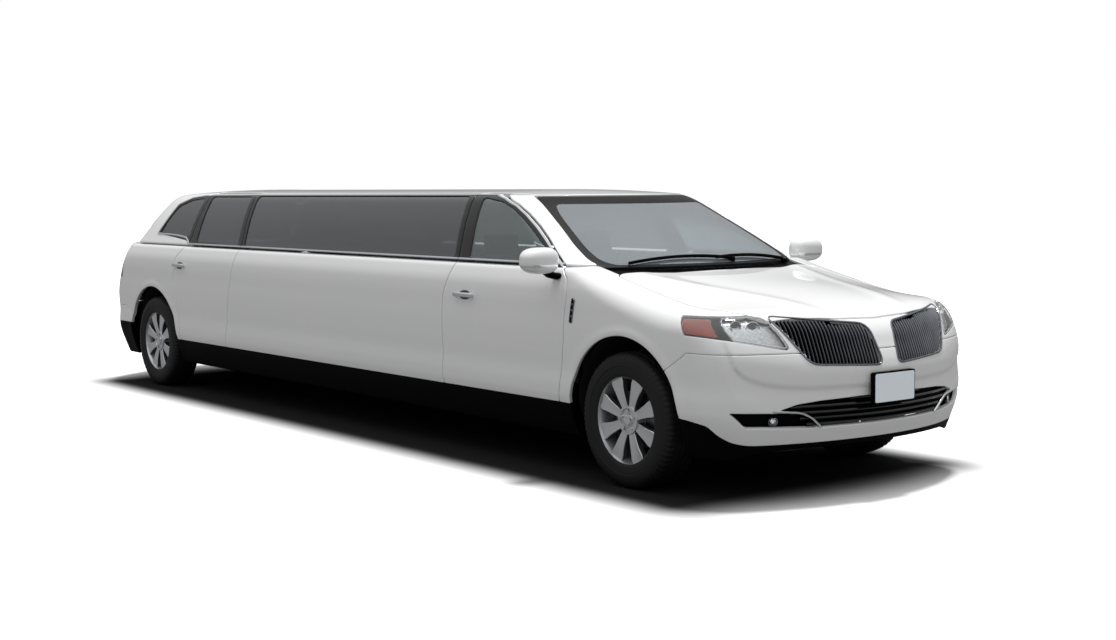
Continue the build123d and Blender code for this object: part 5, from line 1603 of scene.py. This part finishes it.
@dataclass
class Cabin:
    """The seats, benches and cabinet, their cushions stuffed by a cloth simulation."""

    floor_z: float = 0.281
    seat_y: float = 0.385
    seat_lean: float = -12.0
    lounge_x: tuple[float, float] = (REAR + 0.560, FRONT - 2.400)
    lounge_count: int = 5
    rear_x: tuple[float, float] = (REAR - 0.060, REAR + 0.540)
    bar_x: tuple[float, float] = (REAR + 1.500, FRONT - 2.400)
    voxel: float = 0.013
    pressure: float = 4.0
    frames: int = 20
    swell: float = 0.012
    seam: float = 0.012

    def stuff(self, pads: Sequence[Pad], name: str, node: str) -> None:
        """Blow up a group of cushions as cloth and keep the result.

        Args:
            pads: the cushions.
            name: the piece's name.
            node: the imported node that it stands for.
        """
        whole = Solid()
        for pad in pads:
            whole += pad.mesh(self.voxel)
        piece = whole.make(name, "body", [LEATHER], [node], angle=80)
        scene = bpy.context.scene
        cloth = piece.modifiers.new("stuffing", "CLOTH")
        cloth.settings.use_pressure = True
        cloth.settings.uniform_pressure_force = self.pressure
        cloth.settings.quality = 3
        cloth.settings.effector_weights.gravity = 0.0
        cloth.point_cache.frame_end = self.frames
        for number in range(1, self.frames + 1):
            scene.frame_set(number)
        done = piece.evaluated_get(bpy.context.evaluated_depsgraph_get()).to_mesh()
        blown = np.array([v.co[:] for v in done.vertices])
        piece.modifiers.remove(cloth)
        scene.frame_set(1)
        move = blown - whole.points
        far = np.linalg.norm(move, axis=1, keepdims=True)
        move *= np.minimum(1, self.swell / np.maximum(far, 1e-9))
        piece.data.vertices.foreach_set("co", (whole.points + move).ravel())
        piece.data.update()

    def base(self, low: Sequence[float], high: Sequence[float], name: str, node: str, finish: Finish) -> None:
        """Build a plinth with rounded corners between two corners of a box."""
        (x0, y0, z0), (x1, y1, z1) = low, high
        loop = Outline(((x0, y0), (x1, y0), (x1, y1), (x0, y1)), View.PLAN, 0.04).loop()
        lower = Solid.prism(loop, z0, z1)
        rim = Solid.prism(loop, z1 - 0.030, z1 - 0.022, 1.002).kind(1)
        (lower + rim).make(name, "body", [finish, CHROME], [node], bevel=0.006)

    def front_seat(self, side: Side) -> None:
        """Build a front seat."""
        x0, y, label = FRONT - 1.790, side.value * self.seat_y, side.label
        self.base((x0 + 0.03, y - 0.21, self.floor_z), (x0 + 0.47, y + 0.21, 0.43), f"seat_base_{label}",
                  "front_seats", TRIM)
        lean = Matrix.Rotation(math.radians(self.seat_lean), 4, "Y")
        root = Vector((x0 + 0.040, y, 0.610))

        def on_back(dx: float, dy: float, dz: float) -> tuple:
            """Return a place on the leaning back."""
            return tuple(root + lean @ Vector((dx, dy, dz)))

        pads = [Pad((0.49, 0.30, 0.15), (x0 + 0.265, y, 0.520))]
        pads += [Pad((0.47, 0.085, 0.17), (x0 + 0.255, y + s * 0.203, 0.525)) for s in (-1, 1)]
        pads += [Pad((0.10, 0.29, 0.58), on_back(0.0, 0, 0.300), self.seat_lean)]
        pads += [Pad((0.115, 0.085, 0.54), on_back(0.006, s * 0.195, 0.290), self.seat_lean) for s in (-1, 1)]
        pads += [Pad((0.075, 0.245, 0.145), (x0 - 0.088, y, 1.240), -6)]
        self.stuff(pads, f"front_seat_{label}", "front_seats")
        posts = Solid()
        for s in (-1, 1):
            foot, top = Vector(on_back(0, s * 0.06, 0.56)), Vector((x0 - 0.088, y + s * 0.06, 1.20))
            path = np.array([foot, foot.lerp(top, 0.5), top])
            posts += Solid.sweep(path, np.tile((1.0, 0.0, 0.0), (3, 1)), oval(0.006, 0.006, 12))
        posts.make(f"seat_posts_{label}", "body", [CHROME], ["front_seats"])

    def build(self) -> None:
        """Build everything in the cabin."""
        for side in Side:
            self.front_seat(side)
        x0, x1 = self.lounge_x
        self.base((x0 + 0.02, 0.36, self.floor_z), (x1 - 0.02, 0.77, 0.46), "lounge_base", "lounge_bench",
                  TRIM)
        wide = (x1 - x0) / self.lounge_count
        self.stuff([Pad((wide - 2 * self.seam, 0.43, 0.155), (x0 + wide * (i + 0.5), 0.560, 0.548))
                    for i in range(self.lounge_count)], "lounge_cushions", "lounge_bench")
        x0, x1 = self.rear_x
        self.base((x0 + 0.02, -0.58, self.floor_z), (x1 - 0.03, 0.58, 0.49), "rear_base", "rear_bench", TRIM)
        self.stuff([Pad((x1 - x0 - 2 * self.seam, 0.38, 0.160), ((x0 + x1) / 2, 0.395 * i, 0.585))
                    for i in (-1, 0, 1)], "rear_cushions", "rear_bench")
        x0, x1 = self.bar_x
        self.base((x0 + 0.01, -0.78, self.floor_z), (x1 - 0.01, -0.57, 0.872), "bar_body", "bar_cabinet",
                  GLOSS_BLACK)
        self.base((x0, -0.79, 0.874), (x1, -0.56, 0.900), "bar_top", "bar_cabinet", DARK_CHROME)
        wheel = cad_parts["steering_wheel"].data
        wheel.polygons.foreach_set("use_smooth", [True] * len(wheel.polygons))


class Studio:
    """The floor, the light and the camera."""

    camera_at = (9.667, -6.445, 1.620)
    yaw, pitch, roll = 52.38, -4.72, -0.45
    focal_px = 1614.0
    image_px = (1116, 640)
    sensor = 36.0
    floor_half = 60.0
    # Box under the car where the floor is painted dark as the car's shadow: axis, middle, half size and soft
    # edge width.
    painted_shadow_box = (("X", 0.10, 3.80, 0.60), ("Y", -0.06, 1.20, 0.42))
    horizon, zenith = 0.24, 0.95

    def floor(self) -> None:
        """Build the floor: white to the eye, with a painted shadow in dark grey under the car, and darker in
        the light that it throws back.
        """
        mesh = bpy.data.meshes.new("floor")
        far = self.floor_half
        mesh.from_pydata([(-far, -far, 0), (far, -far, 0), (far, far, 0), (-far, far, 0)], [], [(0, 1, 2, 3)])
        floor = bpy.data.objects.new("floor", mesh)
        bpy.context.scene.collection.objects.link(floor)
        made = bpy.data.materials.new("floor_paper")
        made.use_nodes = True
        tree = made.node_tree
        shader = tree.nodes["Principled BSDF"]
        seen = self.seen(tree)
        mixed = add_node(tree, "ShaderNodeMix", {6: linear("#7A7A7A"), 7: linear("#FFFFFF")}, {0: seen},
                         data_type="RGBA")
        place = add_node(tree, "ShaderNodeSeparateXYZ", None,
                         {0: add_node(tree, "ShaderNodeNewGeometry").outputs["Position"]})
        # Painted shadow: a soft-edged box mask under the car.
        shade = None
        for axis, middle, half, soft in self.painted_shadow_box:
            off = add_node(tree, "ShaderNodeMath", {1: middle}, {0: place.outputs[axis]},
                           operation="SUBTRACT")
            away = add_node(tree, "ShaderNodeMath", None, {0: off.outputs[0]}, operation="ABSOLUTE")
            ends = {"From Min": half + soft / 2, "From Max": half - soft / 2}
            ramp = add_node(tree, "ShaderNodeMapRange", ends, {"Value": away.outputs[0]},
                            interpolation_type="SMOOTHSTEP")
            shade = ramp if shade is None else add_node(tree, "ShaderNodeMath", None,
                                                        {0: shade.outputs[0], 1: ramp.outputs[0]},
                                                        operation="MULTIPLY")
        # Inside the mask the floor's colour goes to dark grey: a shadow painted under the car, not cast by
        # the lamps.
        shaded = add_node(tree, "ShaderNodeMix", {7: linear("#2A2A2A")},
                          {0: shade.outputs[0], 6: mixed.outputs[2]}, data_type="RGBA")
        tree.links.new(shaded.outputs[2], shader.inputs["Base Color"])
        shader.inputs["Roughness"].default_value = 0.9
        shader.inputs["Specular IOR Level"].default_value = 0.0
        mesh.materials.append(made)

    @staticmethod
    def seen(tree: bpy.types.NodeTree) -> bpy.types.NodeSocket:
        """Return 1 for rays that the eye follows straight or through glass."""
        path = add_node(tree, "ShaderNodeLightPath")
        return add_node(tree, "ShaderNodeMath", None, {0: path.outputs["Is Camera Ray"],
                                                       1: path.outputs["Is Transmission Ray"]},
                        operation="MAXIMUM").outputs[0]

    def light(self) -> None:
        """Light the car from a soft sky and a broad lamp overhead."""
        world = bpy.data.worlds.new("soft_sky")
        bpy.context.scene.world = world
        world.use_nodes = True
        tree = world.node_tree
        background = tree.nodes["Background"]
        where = add_node(tree, "ShaderNodeTexCoord").outputs["Generated"]
        height = add_node(tree, "ShaderNodeSeparateXYZ", None, {0: where}).outputs["Z"]
        fall = {"From Min": 0.0, "From Max": 0.8, "To Min": self.horizon, "To Max": self.zenith}
        sky = add_node(tree, "ShaderNodeMapRange", fall, {"Value": height})
        path = add_node(tree, "ShaderNodeLightPath")
        mixed = add_node(tree, "ShaderNodeMix", {3: 1.0},
                         {0: path.outputs["Is Camera Ray"], 2: sky.outputs[0]})
        tree.links.new(mixed.outputs[0], background.inputs["Strength"])
        background.inputs["Color"].default_value = (1, 1, 1, 1)
        lamp = bpy.data.lights.new("overhead_lamp", "SUN")
        lamp.energy, lamp.angle = 2.8, math.radians(8)
        holder = bpy.data.objects.new("overhead_lamp", lamp)
        holder.rotation_euler = (math.radians(-8), math.radians(-4), 0)
        bpy.context.scene.collection.objects.link(holder)

    def camera(self) -> None:
        """Place the camera where the photograph was taken from."""
        yaw, pitch, roll = (math.radians(a) for a in (self.yaw, self.pitch, self.roll))
        forward = Vector((-math.sin(yaw) * math.cos(pitch), math.cos(yaw) * math.cos(pitch), math.sin(pitch)))
        right = Vector((math.cos(yaw), math.sin(yaw), 0))
        up = right.cross(forward)
        right, up = right * math.cos(roll) + up * math.sin(roll), up * math.cos(roll) - right * math.sin(roll)
        data = bpy.data.cameras.new("photo_camera")
        data.sensor_width = self.sensor
        data.lens = self.sensor * self.focal_px / self.image_px[0]
        data.clip_end = 200.0
        camera = bpy.data.objects.new("photo_camera", data)
        camera.matrix_world = Matrix((
            (right.x, up.x, -forward.x, self.camera_at[0]), (right.y, up.y, -forward.y, self.camera_at[1]),
            (right.z, up.z, -forward.z, self.camera_at[2]), (0, 0, 0, 1)))
        bpy.context.scene.collection.objects.link(camera)
        bpy.context.scene.camera = camera

    def build(self) -> None:
        """Set up the whole studio."""
        self.floor()
        self.light()
        self.camera()
        bpy.context.scene.view_settings.view_transform = "Standard"


def dress_nodes() -> None:
    """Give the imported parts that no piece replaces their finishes."""
    kept = {"floor_pan": UNDERBODY, "wheel_wells": UNDERBODY, "bulkhead": UNDERBODY, "axle_frames": UNDERBODY,
            "knuckle_right": UNDERBODY, "knuckle_left": UNDERBODY, "engine": CAST_GREY, "exhaust": STEEL,
            "hinge_plates": STEEL, "dashboard": TRIM, "steering_wheel": LEATHER}
    for name, finish in kept.items():
        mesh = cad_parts[name].data
        mesh.materials.clear()
        mesh.materials.append(finish.make())


def main() -> None:
    """Build the studio and the car's sub-assemblies in order."""
    Studio().build()
    dress_nodes()
    bodywork = Bodywork()
    bodywork.build()
    Glazing(bodywork.cabin).build()
    Nose(bodywork.lower).build()
    Tail(bodywork.lower).build()
    Wheel().build()
    Trim().build()
    Cabin().build()


if __name__ == "__main__":
    main()
